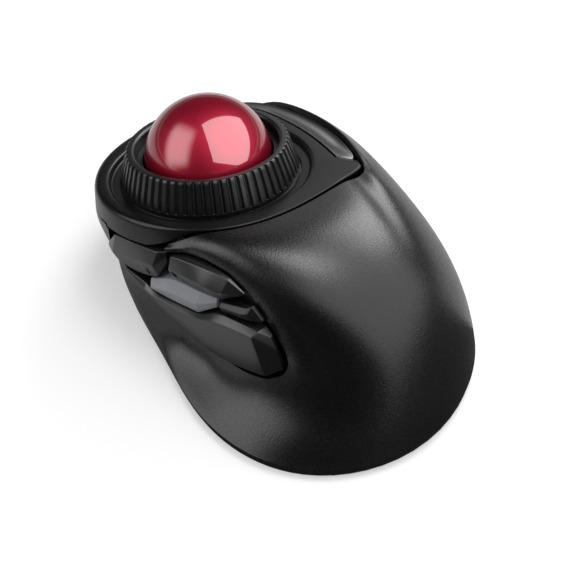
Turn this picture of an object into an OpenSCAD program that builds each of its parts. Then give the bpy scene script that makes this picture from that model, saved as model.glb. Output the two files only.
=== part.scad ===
// Right-handed trackball mouse: palm shell, sloping deck, ball in a scroll ring,
// thumb keys on the left wall, and the parts that work inside it.
// Lengths are in millimetres. +Z is up, +Y points away from the palm, +X is to the right.
// Plan places are measured from the axis of the ball and moved by `centre` at the end.

/* [Ball] */
// Diameter of the ball
ball_d = 40; // [38:0.5:42]
// Thickness of the glossy outer layer of the ball
ball_skin = 1.4; // [1:0.1:2]
// Height of the ball's centre above the desk
ball_height = 46; // [44:0.5:49]
// Room between the ball and its cup
ball_play = 0.6; // [0.4:0.05:0.8]
// Wall of the cup
cup_wall = 1.8; // [1.4:0.1:2.2]
// Diameter of a bearing bead
bead_d = 3; // [2.5:0.1:3.5]

/* [Scroll ring] */
// Height of the ring's rim above the ball's centre
ring_rise = 4.7; // [3.5:0.1:6]
// Thickness of the ring at its rim
ring_wall = 3.1; // [2.6:0.1:3.6]
// How much wider the ring is at its foot than at its rim
ring_taper = 2.6; // [1.5:0.1:3]
// Radial running clearance between the ring and the collar of the cup
ring_fit = 0.08; // [0.05:0.01:0.1]
// Number of grip ribs round the ring
rib_count = 60; // [40:1:72]
// Depth of the grooves between the ribs
rib_depth = 0.6; // [0.4:0.05:0.9]
// Thickness of the hidden flange that keeps the ring down
ring_flange_t = 1.4; // [1.2:0.1:1.8]

/* [Deck] */
// Forward slope of the deck in degrees
deck_pitch = 13.5; // [12:0.5:15]
// Sideways slope of the deck in degrees
deck_roll = 1; // [0:0.5:2]
// Level of the deck below the ball's centre
deck_drop = 4.5; // [4:0.1:5.5]
// Depth of the moat round the ring
moat_depth = 1; // [0.6:0.1:1.4]
// Width of the moat
moat_gap = 3.1; // [2.5:0.1:3.6]
// Width of the flat deck outside the moat
deck_margin = 5; // [4.6:0.1:5.6]
// Thickness of the lip over the ring's flange
lip_t = 1.2; // [1:0.1:1.6]
// Height of the band under the deck's edge
band_h = 7; // [6.6:0.1:7.4]

/* [Shell] */
// Wall of the palm shell
wall = 2.2; // [1.8:0.1:2.6]
// Width of the visible seams
seam = 0.9; // [0.7:0.05:1.1]
// Thickness of the base plate
base_t = 2.6; // [2.4:0.1:3]
// Seam between the base plate and the shell
base_seam = 0.2; // [0.1:0.05:0.3]
// Diameter of a rubber foot
foot_d = 8; // [6:0.5:8.5]
// How far the feet stand out of the base
foot_h = 0.8; // [0.6:0.1:1.2]

/* [Right button] */
// Slot between the right button and the deck
strip_slot = 0.8; // [0.6:0.05:1]
// Drop of the right button from the deck to its outer edge
strip_dip = 2.5; // [2:0.1:3]
// Depth of the hollow along the right button
strip_cove = 1.2; // [0.6:0.1:1.6]
// Thickness of the right button
strip_t = 1.6; // [1.2:0.1:2]
// Diameter of the pivot pin
pin_d = 1.6; // [1.2:0.1:2]

/* [Thumb keys] */
// How far a thumb key goes in
key_travel = 0.8; // [0.5:0.1:1]
// Depth of a thumb key behind the wall's plane
key_back = 3.4; // [3.2:0.1:4]
// Diameter of a key's stem
stem_d = 3.2; // [2.6:0.1:4]
// Thickness of the panel that guides the stems
panel_t = 1.4; // [1.2:0.1:2]

/* [Electronics] */
// Thickness of the circuit boards
board_t = 1.2; // [1:0.1:1.6]
// Side of a square key switch
tact_w = 6; // [5:0.1:6.4]
// Height of a key switch without its plunger
tact_h = 2.4; // [2:0.1:3]
// Diameter of the battery
battery_d = 14.5; // [13.5:0.1:15]
// Length of the battery
battery_l = 50.5; // [48:0.5:51]
// Thickness of the battery door
door_t = 1.5; // [1.2:0.1:1.7]
// How far the power knob slides
knob_travel = 3; // [2:0.5:4]
// Length of the stowed receiver with its plug
receiver_l = 18.5; // [17:0.5:20]

/* [Hidden] */
$fn = 64;

// Small gaps used all through the part
gap = 0.3;
thin = 0.1;
eps = 0.01;

// Ball, cup and ring, from the inside out
ball_r = ball_d / 2;
core_r = ball_r - ball_skin;
cup_r = ball_r + ball_play;
collar_r = cup_r + cup_wall;
collar_rise = 1.2;
ring_bore_r = collar_r + ring_fit;
ring_rim_r = ring_bore_r + ring_wall;
ring_foot_r = ring_rim_r + ring_taper;
lip_r = ring_foot_r + gap + thin;
flange_lap = 1.6;
ring_flange_r = lip_r + flange_lap;
moat_r = ring_foot_r + moat_gap;
deck_r = moat_r + deck_margin;

// Levels on the axis of the ring, measured up from the ball's centre
deck_h = -deck_drop;
moat_h = deck_h - moat_depth;
lip_h = moat_h - lip_t;
ring_foot_h = moat_h + gap;
flange_top_h = lip_h - gap;
flange_h = flange_top_h - ring_flange_t;
glide_play = 0.05;
glide_t = 0.8;
track_t = 0.6;
cup_flange_t = 1.6;
cup_flange_h = flange_h - glide_play - glide_t;
cup_foot_h = cup_flange_h - cup_flange_t;
band_low_h = deck_h - band_h;
glide_w = 3.2;
glide_r = collar_r + glide_w;

// Grip grooves of the ring, and the bevels of its rim
groove_r = 0.75;
ring_edge = 0.4;
ring_bevel = 0.9;
bore_bevel = 0.6;

// Cup fixings, as angles round the ball's axis
ear_r = 1.6;
ear_place_r = ring_flange_r + ear_r + thin;
ear_angles = [45, 165, 285];
cup_flange_r = ear_place_r + ear_r - thin;
leg_r = 2.4;
leg_places = [[-24, 2], [-3, 25], [23, -8]];

// Bearing beads
bead_r = bead_d / 2;
bead_dip = 28;
bead_angles = [90, 210, 330];
bead_wall = 1.1;
bead_floor = 1.2;
bead_boss_r = bead_r + bead_wall;

// Bowl of the cup: steps along its arc, and the hole that lets dust fall out
bowl_steps = 12;
drain_r = 4;

// Ball sensor: the way it looks at the ball, and the stack behind its window
sensor_dip = 50;
lens_r = 3;
lens_t = 2.6;
chip_w = 7;
chip_t = 1.4;
lens_from = cup_r + gap;
chip_from = lens_from + lens_t;
sensor_board_from = chip_from + chip_t;
sensor_board_size = [15, 12, board_t];
sensor_posts = [[-5, 0], [5, 0]];
sensor_post_r = 1.1;

// Ring sensor, which reads the track through the cup's flange
ring_sensor_size = [4, 3, cup_flange_t - thin];
ring_board_size = [8, 12, board_t];

// Seam round the deck. Each station has its angle, its reach past the deck's radius
// and its dip below the deck. The corner at the rear right has closer stations.
stations = [0, 20, 38, 50, 64, 90, 120, 150, 178, 200, 214,
            226, 238, 252, 270, 292, 310, 321, 327, 333, 344];
seam_reach = [10.5, 11.5, 15, 17, 14, 6.5, 2.5, 1.2, 1, 1, 1,
              1.2, 1.2, 1.7, 1.7, 2.2, 4.7, 8.7, 12.2, 11.7, 10.5];
band_dip = band_h + 0.5;
seam_dip = [strip_dip, strip_dip, strip_dip, 4, band_h, band_dip, band_dip, band_dip, band_dip,
            band_dip, band_dip, 4.5, 0.5, 0, 0, 0, 0, 0.5, 1, 2, strip_dip];
// Edge of the flat deck at the same stations, as a reach past the deck's radius
edge_reach = [0, 0.4, 3.7, 7, 6.5, 3, 0.8, 0, 0, -0.2, -0.4,
              0, 0.4, 0.9, 1, 1.5, 4.2, 8, 7, 4.7, 1.8];

// Body lines from the shoulder down to the base, one value every 30 degrees round the
// middle of the line, starting on the right: reach past the deck's radius, then height.
// The heights of the first three lines are drops below the ball's centre.
line_step = 30;
line_mid = [[4, -8], [7, -20], [10, -29], [12, -33], [14, -36]];
line_reach = [
    [8.2, 13.7, 21.2, 14.2, 11.7, 8.2, 3.7, 1.7, 3.7, 10.2, 12.7, 9.7],
    [9.2, 11.7, 22.7, 25.7, 21.7, 13.7, 2.2, -1.3, 5.7, 21.7, 22.7, 15.2],
    [9.7, 9.7, 24.2, 33.7, 30.7, 14.2, 0.7, -2.3, 6.7, 27.2, 25.7, 18.2],
    [10.7, 10.2, 24.2, 35.7, 33.7, 13.7, 3.2, 6.7, 23.7, 31.7, 27.2, 19.7],
    [10.2, 10.7, 24.7, 36.7, 35.2, 13.7, 7.7, 15.7, 29.7, 30.7, 24.7, 18.2]
];
line_drop = [
    [7, 13, 21, 23, 21, 17.5, 11.5, 2, -6, -8, -6, 0.5],
    [13, 17, 26, 30, 28, 23, 12, 4, 4, 1, 3.5, 10],
    [22, 23.5, 31, 35, 34, 31, 31, 32.5, 31, 18, 18.5, 20.5]
];
skirt_height = [12, 12, 11, 9, 9, 9, 7.5, 6.5, 9, 12, 12, 12];

// Shell mesh: columns for each seam station, rows from the seam down to the base
col_per_station = 4;
col_count = col_per_station * len(stations);
row_count = 20;
inner_step = 2;
rim_in = 0.6;
rim_depth = 1.8;

// Levels above the desk
base_top = foot_h + base_t;
rim_z = base_top + base_seam;
base_inset = 0.6;
foot_sink = 0.4;

// Axes of the deck in the body's frame
deck_x = [cos(deck_roll), 0, -sin(deck_roll)];
deck_y = [-sin(deck_pitch) * sin(deck_roll), cos(deck_pitch), -sin(deck_pitch) * cos(deck_roll)];
deck_n = [cos(deck_pitch) * sin(deck_roll), sin(deck_pitch), cos(deck_pitch) * cos(deck_roll)];

// Bezel: the tongue that hangs inside the shell's rim
tongue_t = 1.2;
tongue_in = wall;
tongue_h = 0.5;
// Further down it also hides the inside and leans in with the shell's wall, except over
// the thumb keys, and it stays upright beside the right switch
tongue_skirt = 3;
tongue_lean = 2.4;
thumb_from = 8.2;
thumb_to = 13.8;
switch_to = 1.5;
band_least = 1.2;
band_hollow = 0.4;
bezel_wall = 1.6;
shelf_t = 1.2;
shelf_top_h = band_low_h + shelf_t;

// Right button: where it starts and ends, counted in seam stations, and its pivot
strip_from = 19.3;
strip_to = 24.5;
strip_cols = 26;
strip_end_gap = 0.07;
strip_skirt = 0.7;
strip_round = 4;
pivot_station = 19.62;
pivot_r = pin_d / 2;
barrel_wall = 0.9;
barrel_r = pivot_r + barrel_wall;
pivot_h = shelf_top_h + barrel_r + gap;
pivot_angle = station_angle(pivot_station);
pivot_from_r = edge_r(pivot_station) - strip_slot - bezel_wall - 1;
pivot_to_r = seam_r(pivot_station) - tongue_in - 1;
barrel_from_r = edge_r(pivot_station) + 1.2;
barrel_to_r = pivot_to_r - 0.5;

// Right switch, under the middle of the right button
plunger_station = 22;
plunger_angle = station_angle(plunger_station);
plunger_place_r = edge_r(plunger_station) + 3;
plunger_r = 1.2;
plunger_low_h = band_low_h - 1;
strip_sink = 0.9;
switch_l = 12.8;
switch_w = 5.8;
switch_h = 6.5;
switch_nub = [2, 2.6];
switch_nub_h = 0.6;
switch_top_h = plunger_low_h - strip_sink;
switch_board_h = switch_top_h - switch_h;
switch_board_w = 8;
switch_board_over = 5;
switch_post_r = 1.6;
switch_post_y = switch_l / 2 + 3;
plunger_play = 0.8;

// Thumb wall: a plane through a point beside the ball, turned about the upright axis.
// Along it, x runs to the rear, y is the height over the wall's level, z stands out.
thumb_place = [-35.7, -7.4];
thumb_turn = -69;
thumb_drop = 22;
thumb_z = ball_height - thumb_drop;
panel_gap = 0.8;
wall_reach = 30;
opening_back = 3;
panel_front = -key_back - key_travel - panel_gap;
panel_rear = panel_front - panel_t;
stem_end = panel_rear - 2;
stem_play = 0.5;
tact_plunger_h = 0.4;
tact_top = stem_end - key_travel - thin;
tact_low = tact_top - tact_plunger_h - tact_h;
// Stems of the forward, back, speed and left keys
stem_places = [[9, 7], [37, 14.5], [30, 5], [44, -2]];

// Thumb keys as sections along the wall: place, then [height, stand-out] of the lower
// edge, the ridge and the upper edge
forward_key = [
    [-3, [2.2, -1.2], [3.2, -0.6], [4.6, -0.6]],
    [1.5, [-0.6, -0.4], [4.5, 1.4], [11.4, 1]],
    [10, [1.6, 0.9], [8.3, 2.4], [13.6, 1.3]],
    [17.6, [4.6, 1.3], [11.2, 2.6], [15.7, 1.3]],
    [21.2, [7, 1.2], [11.9, 1.9], [16.8, 1.2]],
    [23, [15, 1], [16, 1.1], [17.2, 1.1]]
];
back_key = [
    [25.2, [12.5, 1], [14, 1.2], [17.2, 1]],
    [27, [10.6, 1], [14, 2.3], [18.6, 1]],
    [34, [11.4, 0.7], [15.2, 2], [19.8, 0.1]],
    [40, [12, 0.2], [16.3, 1.4], [20.3, -1]],
    [44, [12.4, -0.1], [15.6, 0.9], [20.3, -1.7]],
    [48, [14.2, -0.6], [16.5, -0.4], [19.8, -2.4]],
    [52.8, [17, -2.3], [17.4, -2.2], [17.8, -2.4]]
];
speed_key = [
    [17, [2.2, 1.1], [2.6, 1.2], [3.1, 1.1]],
    [18.8, [-0.3, 1.3], [1.5, 2.2], [4.3, 1.3]],
    [27, [1, 1.5], [5.5, 2.4], [9.6, 1.2]],
    [36.5, [2.9, 1.2], [7, 2], [10.8, 0.7]],
    [38.3, [3.6, 1], [7.5, 1.4], [11, 0.6]],
    [44.4, [9.6, 0.2], [10.6, 0.2], [11.6, 0.1]]
];
label_field = [
    [45.3, [9.8, 0], [10.6, 0.1], [11.4, 0]],
    [46.5, [9.1, 0.2], [10.5, 0.8], [12, -0.1]],
    [54.6, [10.4, -0.8], [12.2, -0.3], [14, -1.6]],
    [56.5, [10.7, -1.2], [13, -1], [15.4, -2.2]],
    [60.6, [11.6, -2.2], [11.9, -2.2], [12.3, -2.4]]
];
left_key = [
    [4.3, [-3.8, -0.4], [-2.8, 0], [-1.8, -0.1]],
    [15, [-5.4, 0.9], [-2.4, 1.8], [-0.6, 1.2]],
    [19, [-5.9, 1.3], [-2.2, 2.2], [-1.4, 1.6]],
    [32, [-8.1, 1.9], [0.2, 2.4], [1.2, 1.6]],
    [38.5, [-8.6, 2.4], [1.6, 2.3], [2.6, 1.4]],
    [45, [-8.6, 2.7], [3, 2], [7.2, 0.2]],
    [58, [-6.4, 2.5], [5.2, 1.2], [9.6, -1.5]],
    [62.5, [-5.2, 2], [4, 0.7], [10.2, -2.4]],
    [66, [-4.2, 1.4], [1.5, 0.6], [6, -1.3]],
    [69.6, [-1.7, -0.1], [0, -0.3], [1.8, -1]]
];
// Outline of the opening in the thumb wall, and of the panel and the board behind it
opening = [
    [-4.5, 1.5], [-3.5, 7], [-2, 26], [23.4, 26], [23.4, 18.6], [36.8, 21.5], [45.6, 21.3],
    [53.8, 18.2], [59.6, 13.4], [64.5, 8.7], [69, 3.9], [71.2, 0.6], [70.8, -2.4], [66.3, -5.4],
    [61, -6.8], [54.5, -8.1], [43.5, -9.8], [32.2, -9.4], [21.2, -7.2], [4.4, -5], [0, -2.6]
];
panel_outline = [
    [-3, 1], [-3, 9], [22, 9], [27, 16], [36.8, 20], [45.6, 20], [53.8, 17], [59.6, 12.5],
    [64.5, 8], [69, 3.5], [70.5, 0], [66, -4.5], [54.5, -7], [43.5, -8.5], [32, -8], [21, -6], [4, -3.5]
];
thumb_board_outline = [
    [4, 0], [4, 8.5], [20, 8.5], [30, 15.5], [36, 18], [41, 18], [50, 8], [50, -6], [24, -6]
];
panel_posts = [[16, 2], [45, 6]];
post_r = 2;
post_screw_r = 0.7;
label_peg = [52, 11.8];
label_peg_r = 1.4;

// Battery bay on the base, with the receiver stowed behind the battery
battery_mid = [22.5, -55];
battery_r = battery_d / 2;
contact_space = 2.2;
contact_t = 0.4;
contact_w = 9;
stud_r = 2.2;
spring_w = 8;
nub_r = 2.6;
nub_l = 1;
tray_wall = 1.4;
tray_l = battery_l + 2 * contact_space;
tray_w = battery_d + 2 * gap;
tray_axis_h = battery_r + gap;
roof_steps = 12;
receiver_w = 14.5;
receiver_t = 6.5;
receiver_cap_l = 6.5;
plug_w = 12;
plug_t = 4.5;
stow_w = receiver_t + 2 * gap;
stow_l = receiver_l + 2 * gap;
stow_mid_y = battery_mid.y - tray_w / 2 - tray_wall - stow_w / 2;
bay_front = battery_mid.y + tray_w / 2;
bay_rear = stow_mid_y - stow_w / 2;

// Battery door: a plate that slides to the rear on two tongues
door_play = 0.15;
door_lap = 1.5;
door_w = tray_l + 2 * door_lap;
door_front = bay_front + door_lap;
door_tongue = 1;
door_tongue_t = 0.7;
door_tongue_z = foot_h + 0.5;
door_side = door_w / 2 + door_tongue + door_play;

// Feet: two under the ball, one under the thumb wall and one beside the battery door
foot_places = [[-14, 12], [28, 4], [-20, -68], [battery_mid.x + door_side + foot_d / 2 + gap, -56]];

// Case screws and their bosses in the shell: two along the base line, by station,
// and one at each side of the battery door
screw_stations = [1, 7];
screw_clear = 0.6;
boss_r = 3;
boss_h = 12;
boss_lap = 0.3;
screw_r = 1;
screw_play = 0.15;
screw_head_r = 2.1;
screw_head_t = 1.1;
screw_l = 6;
door_screw_out = door_side + screw_head_r + screw_clear;
door_screws = [[battery_mid.x - door_screw_out, -75], [battery_mid.x + door_screw_out, -67]];

// Main board on its standoffs
main_board_low = base_top + 3.6;
main_board_x = [-16, 18];
main_board_y = [-43, 12];
standoff_in = 3;
radio_size = [9, 9, 1.1];
radio_place = [0, -10];
standoff_r = 2;
small_screw_r = 0.7;
small_head_r = 1.4;
small_head_t = 0.9;
driver_slot = 0.5;
standoff_grip = 2.6;
post_grip = 2;

// Power knob in its slot
knob_place = [4, -30];
knob_l = 4.5;
knob_w = 3.4;
knob_play = 0.2;
knob_out = 0.3;
knob_low = foot_h - knob_out;
power_body_over = 2;
power_body_w = 6;

// Colours
charcoal = "#2b2c2f";
satin = "#3b3c40";
graphite = "#1d1e20";
ruby = "#9c1530";
silver = "#96979b";
steel = "#c4c6c9";
board_green = "#1f5a3c";
bone = "#e6e3da";

// Cubic spline weights, and a value on a closed list at a place between its entries
function weights(u) =
    [pow(1 - u, 3), 3 * pow(u, 3) - 6 * u * u + 4, -3 * pow(u, 3) + 3 * u * u + 3 * u + 1, pow(u, 3)] / 6;
function entry(list, i, turn) =
    let (n = len(list), k = floor(i / n)) list[i - k * n] + turn * k;
function loop_value(list, s, turn = 0) =
    let (i = floor(s)) weights(s - i) * [for (k = [-1 : 2]) entry(list, i + k, turn)];
function station_angle(s) = loop_value(stations, s, 360);
function seam_r(s) = deck_r + loop_value(seam_reach, s);
function seam_h(s) = deck_h - loop_value(seam_dip, s);
function edge_r(s) = deck_r + min(loop_value(edge_reach, s), loop_value(seam_reach, s) - seam / 2 - thin);

// A point given on the deck's axes, in the body's frame
function from_deck(p) = [0, 0, ball_height] + p.x * deck_x + p.y * deck_y + p.z * deck_n;
function deck_point(s, r, h) = let (a = station_angle(s)) from_deck([r * cos(a), r * sin(a), h]);

// Point on one of the five body lines
function line_z(k, a) =
    k < 3 ? ball_height - loop_value(line_drop[k], a / line_step)
    : k == 3 ? loop_value(skirt_height, a / line_step) : rim_z;
function line_point(k, s) =
    let (a = station_angle(s), r = deck_r + loop_value(line_reach[k], a / line_step))
    [line_mid[k].x + r * cos(a), line_mid[k].y + r * sin(a), line_z(k, a)];

// The six lines that a column of the skin runs through, and a point at share t of the way
function column(s) =
    concat([deck_point(s, seam_r(s) + seam / 2, seam_h(s))], [for (k = [0 : 4]) line_point(k, s)]);
function column_entry(c, i) =
    i < 0 ? 2 * c[0] - c[1] : i > 5 ? 2 * c[5] - c[4] : c[i];
function column_point(c, t) =
    let (x = t * 5, i = min(4, floor(x))) weights(x - i) * [for (k = [-1 : 2]) column_entry(c, i + k)];

// Skin points and normals
columns = [for (i = [0 : col_count - 1]) column(i / col_per_station)];
skin = [for (c = columns) [for (j = [0 : row_count]) column_point(c, j / row_count)]];
// Where the ball's axis meets the desk, so that the origin is the middle of the skin's outline
skin_x = [for (c = skin) for (p = c) p.x];
skin_y = [for (c = skin) for (p = c) p.y];
centre = -[min(skin_x) + max(skin_x), min(skin_y) + max(skin_y)] / 2;
// The battery door runs out at the rear of the base
door_reach = door_front - min(skin_y);
function unit(v) = v / norm(v);
function skin_normal(i, j) =
    let (
        next = skin[(i + 1) % col_count][j],
        last = skin[(i + col_count - 1) % col_count][j],
        up = skin[i][max(0, j - 1)],
        down = skin[i][min(row_count, j + 1)]
    ) unit(cross(down - up, next - last));
function inside(i, j, depth) =
    let (p = skin[i][j] - depth * skin_normal(i, j)) j == row_count ? [p.x, p.y, rim_z] : p;
function rim_inside(i) =
    let (s = i / col_per_station) deck_point(s, seam_r(s) + seam / 2 - rim_in, seam_h(s) - rim_depth);

// Faces of a grid of rows that closes on itself both ways round
function ring_faces(n, m) = [
    for (i = [0 : n - 1]) for (j = [0 : m - 1])
        let (a = i * m + j, b = i * m + (j + 1) % m,
             c = ((i + 1) % n) * m + (j + 1) % m, d = ((i + 1) % n) * m + j)
        each [[a, b, c], [a, c, d]]
];
// Faces of sections along a bar, with a fan over each end
function bar_faces(n, m) = concat(
    [for (i = [0 : n - 2]) for (j = [0 : m - 1])
        let (a = i * m + j, b = i * m + (j + 1) % m, c = a + m, d = b + m)
        each [[a, b, d], [a, d, c]]],
    [for (j = [1 : m - 2]) [0, j + 1, j]],
    [for (j = [1 : m - 2]) let (k = (n - 1) * m) [k, k + j, k + j + 1]]
);

// Base line of the shell, moved in by a distance, as a plan outline
function rim_out(i) = let (n = skin_normal(i, row_count)) unit([n.x, n.y]);
function base_outline(inset) =
    [for (i = [0 : col_count - 1]) [skin[i][row_count].x, skin[i][row_count].y] - inset * rim_out(i)];
function rim_place(s, inset) =
    let (p = line_point(4, s), q = line_point(4, s + thin), d = unit([q.x - p.x, q.y - p.y]))
    [p.x - inset * d.y, p.y + inset * d.x];
boss_places = concat([for (s = screw_stations) rim_place(s, wall + boss_r - boss_lap)], door_screws);

// Frames of the part: over the footprint, on the deck's axes, and on the thumb wall
module from_ball() {
    translate([centre.x, centre.y, 0]) children();
}
module on_deck() {
    from_ball() translate([0, 0, ball_height]) rotate([-deck_pitch, deck_roll, 0]) children();
}
module on_thumb() {
    from_ball() translate([thumb_place.x, thumb_place.y, thumb_z]) rotate([90, 0, thumb_turn]) children();
}
// Looks along the ball sensor: z points away from the ball's centre
module along_sensor() {
    on_deck() rotate([90 + sensor_dip, 0, 0]) children();
}
// Free-form bodies are cut and joined as one smooth mesh
module freeform() {
    $fn = 24;
    resize([0, 0, 0]) children();
}
module disc(r, low, high) {
    translate([0, 0, low]) cylinder(r = r, h = high - low);
}
module tube(r_out, r_in, low, high) {
    difference() {
        disc(r_out, low, high);
        disc(r_in, low - 1, high + 1);
    }
}
module block(size, place) {
    translate([place.x, place.y, place.z]) translate([-size.x / 2, -size.y / 2, 0]) cube(size);
}
module plate(outline, low, high) {
    translate([0, 0, low]) linear_extrude(high - low) polygon(outline);
}
module at_places(places) {
    for (p = places) translate([p.x, p.y, 0]) children();
}

// Closed skin at a depth under the outer face, used to trim what sits inside the shell
module cavity(depth) {
    n = col_count;
    m = row_count + 1;
    top = from_deck([0, 0, deck_h]);
    low = [line_mid[4].x, line_mid[4].y, rim_z];
    points = concat(
        [for (i = [0 : n - 1]) for (j = [0 : row_count]) inside(i, j, depth)], [top, low]);
    sides = [for (i = [0 : n - 1]) for (j = [0 : row_count - 1])
        let (a = i * m + j, c = ((i + 1) % n) * m + j)
        each [[a, c + 1, a + 1], [a, c, c + 1]]];
    caps = [for (i = [0 : n - 1]) let (a = i * m, c = ((i + 1) % n) * m)
        each [[n * m, c, a], [n * m + 1, a + row_count, c + row_count]]];
    polyhedron(points, concat(sides, caps));
}

// Shell
module shell_skin() {
    inner_rows = [for (j = [inner_step : inner_step : row_count]) j];
    m = row_count + 1 + len(inner_rows) + 1;
    points = [for (i = [0 : col_count - 1]) each concat(
        [rim_inside(i)],
        [for (j = inner_rows) inside(i, j, wall)],
        [for (j = [row_count : -1 : 0]) skin[i][j]])];
    polyhedron(points, ring_faces(col_count, m));
}
module screw_bosses() {
    intersection() {
        at_places(boss_places) disc(boss_r, rim_z, rim_z + boss_h);
        cavity(wall / 2);
    }
}
module palm_shell() {
    color(charcoal) freeform() difference() {
        from_ball() difference() {
            union() {
                shell_skin();
                screw_bosses();
            }
            at_places(boss_places) disc(screw_r + screw_play, 0, base_top + screw_l + gap);
        }
        on_thumb() plate(opening, panel_rear - opening_back, wall_reach);
    }
}

// Section of the bezel at a station: tongue, band, deck, moat, lip and underside
function in_strip(s) = s > strip_from - eps && s < strip_to + eps;
function over_keys(s) = let (k = s % len(stations)) k > thumb_from && k < thumb_to;
function over_switch(s) = let (k = s % len(stations)) k > strip_from - eps || k < switch_to;
function band_foot(s) = min(max(band_low_h, seam_h(s) + thin), deck_h - band_least);
function tongue_low(s) =
    over_keys(s) ? min(band_foot(s) - tongue_h, lip_h - 1) : band_low_h - tongue_h - tongue_skirt;
function bezel_section(s, strip) =
    let (
        tongue = seam_r(s) - tongue_in,
        tip = tongue_low(s),
        tip_r = tongue - (over_keys(s) || over_switch(s) ? 0 : tongue_lean),
        foot = strip ? shelf_top_h : band_foot(s),
        out = strip ? edge_r(s) - strip_slot : seam_r(s) - seam / 2,
        edge = strip ? out : edge_r(s),
        in = strip ? out - bezel_wall : tongue - tongue_t,
        in_low = max(band_low_h, tip + 2 * thin),
        hollow = strip ? 0 : min(band_hollow, (deck_h - foot) / 10)
    ) [
        [tip_r, tip], [tongue, foot - thin], [out, foot],
        [out + (edge - out) / 3 - hollow, foot + (deck_h - foot) / 3],
        [out + (edge - out) * 2 / 3 - hollow, foot + (deck_h - foot) * 2 / 3],
        [edge, deck_h], [moat_r + moat_depth / 2, deck_h], [moat_r, moat_h], [lip_r, moat_h],
        [lip_r, lip_h], [in, lip_h], [in, in_low], [tongue - tongue_t, in_low - thin],
        [tip_r - tongue_t, tip]
    ];
bezel_columns = concat(
    [for (i = [0 : col_count - 1]) if (!in_strip(i / col_per_station)
        && !in_strip(i / col_per_station + len(stations))) [i / col_per_station, false]],
    [[strip_from, false], [strip_from + eps, true]],
    [for (i = [1 : strip_cols - 1]) [strip_from + (strip_to - strip_from) * i / strip_cols, true]],
    [[strip_to - eps, true], [strip_to, false]]);
function before(c) = c[0] % len(stations);
function sorted(list) =
    len(list) < 2 ? list
    : let (p = before(list[0]))
      concat(sorted([for (c = list) if (before(c) < p) c]), [list[0]],
             sorted([for (i = [1 : len(list) - 1]) if (before(list[i]) >= p) list[i]]));
module bezel_skin() {
    rows = sorted(bezel_columns);
    points = [for (c = rows) let (a = station_angle(c[0]))
        for (p = bezel_section(c[0], c[1])) [p[0] * cos(a), p[0] * sin(a), p[1]]];
    polyhedron(points, ring_faces(len(rows), len(bezel_section(0, false))));
}
module at_ears() {
    for (a = ear_angles) rotate(a) translate([ear_place_r, 0, 0]) children();
}
module at_pivot() {
    rotate(pivot_angle) translate([0, 0, pivot_h]) rotate([0, 90, 0]) children();
}
module at_plunger() {
    rotate(plunger_angle) translate([plunger_place_r, 0, 0]) children();
}
module deck_bezel() {
    color(satin) freeform() on_deck() difference() {
        union() {
            bezel_skin();
            at_ears() disc(ear_r - thin, cup_flange_h, lip_h + thin);
            at_plunger() for (y = [-switch_post_y, switch_post_y])
                translate([0, y, 0]) disc(switch_post_r, switch_board_h, band_low_h + thin);
        }
        at_ears() disc(small_screw_r + thin, cup_flange_h - 1, lip_h - thin);
        at_pivot() disc(pivot_r + thin, pivot_from_r - 2, pivot_to_r + gap);
        at_plunger() disc(plunger_r + plunger_play, band_low_h - 2, shelf_top_h + 2);
    }
}

// Base plate and what closes it
module door_path(play, below) {
    y = door_front - door_reach / 2 + play;
    block([door_w + 2 * play, door_reach, door_t + play + below], [battery_mid.x, y, foot_h - below]);
    block([door_w + 2 * door_tongue + 2 * play, door_reach, door_tongue_t + 2 * play],
        [battery_mid.x, y, door_tongue_z - play]);
}
module standoffs() {
    for (x = [main_board_x[0] + standoff_in, main_board_x[1] - standoff_in])
        for (y = [main_board_y[0] + standoff_in, main_board_y[1] - standoff_in])
            translate([x, y, 0]) children();
}
module screw_sites() {
    at_places(concat(boss_places, leg_places)) children();
}
module base_plate() {
    color(graphite) from_ball() difference() {
        union() {
            plate(base_outline(base_inset), foot_h, base_top);
            standoffs() disc(standoff_r, base_top - thin, main_board_low);
        }
        door_path(door_play, 1);
        block([tray_l, bay_front - bay_rear, base_top + 1], [battery_mid.x, (bay_front + bay_rear) / 2, 0]);
        screw_sites() {
            disc(screw_r + screw_play, 0, base_top + 1);
            disc(screw_head_r + screw_play, 0, foot_h + screw_head_t + gap);
        }
        at_places(foot_places) disc(foot_d / 2 + thin, 0, foot_h + foot_sink);
        block([knob_l + knob_travel + 2 * knob_play, knob_w + 2 * knob_play, base_top + 1],
            [knob_place.x, knob_place.y, 0]);
        standoffs() disc(small_screw_r + thin, foot_h + 1, main_board_low + 1);
    }
}
module battery_door() {
    color(graphite) from_ball() intersection() {
        door_path(0, 0);
        plate(base_outline(base_inset), 0, base_top);
    }
}
module feet() {
    color("#111112") from_ball() at_places(foot_places) disc(foot_d / 2, 0, foot_h + foot_sink);
}

// Scroll ring and what it runs on
module scroll_ring() {
    lean = atan2(ring_taper, ring_rise - ring_foot_h);
    run = ring_rise - ring_foot_h;
    color(graphite) on_deck() difference() {
        rotate_extrude() polygon([
            [ring_bore_r, flange_h], [ring_flange_r, flange_h], [ring_flange_r, flange_top_h],
            [ring_foot_r - rib_depth, flange_top_h], [ring_foot_r - rib_depth, ring_foot_h],
            [ring_foot_r, ring_foot_h], [ring_rim_r, ring_rise - ring_edge],
            [ring_rim_r - ring_edge, ring_rise],
            [ring_bore_r + ring_bevel, ring_rise + ring_edge], [ring_bore_r, ring_rise - bore_bevel]
        ]);
        for (i = [0 : rib_count - 1]) rotate(i * 360 / rib_count)
            translate([ring_foot_r + groove_r - rib_depth, 0, ring_foot_h]) rotate([0, -lean, 0])
                disc(groove_r, -1, run + 3);
    }
}
module ring_encoder_track() {
    color(steel) on_deck() tube(ring_flange_r - thin, glide_r + gap, flange_h - track_t, flange_h);
}
module ring_glide() {
    color(bone) on_deck() tube(glide_r, collar_r + thin, cup_flange_h, cup_flange_h + glide_t);
}

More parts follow.
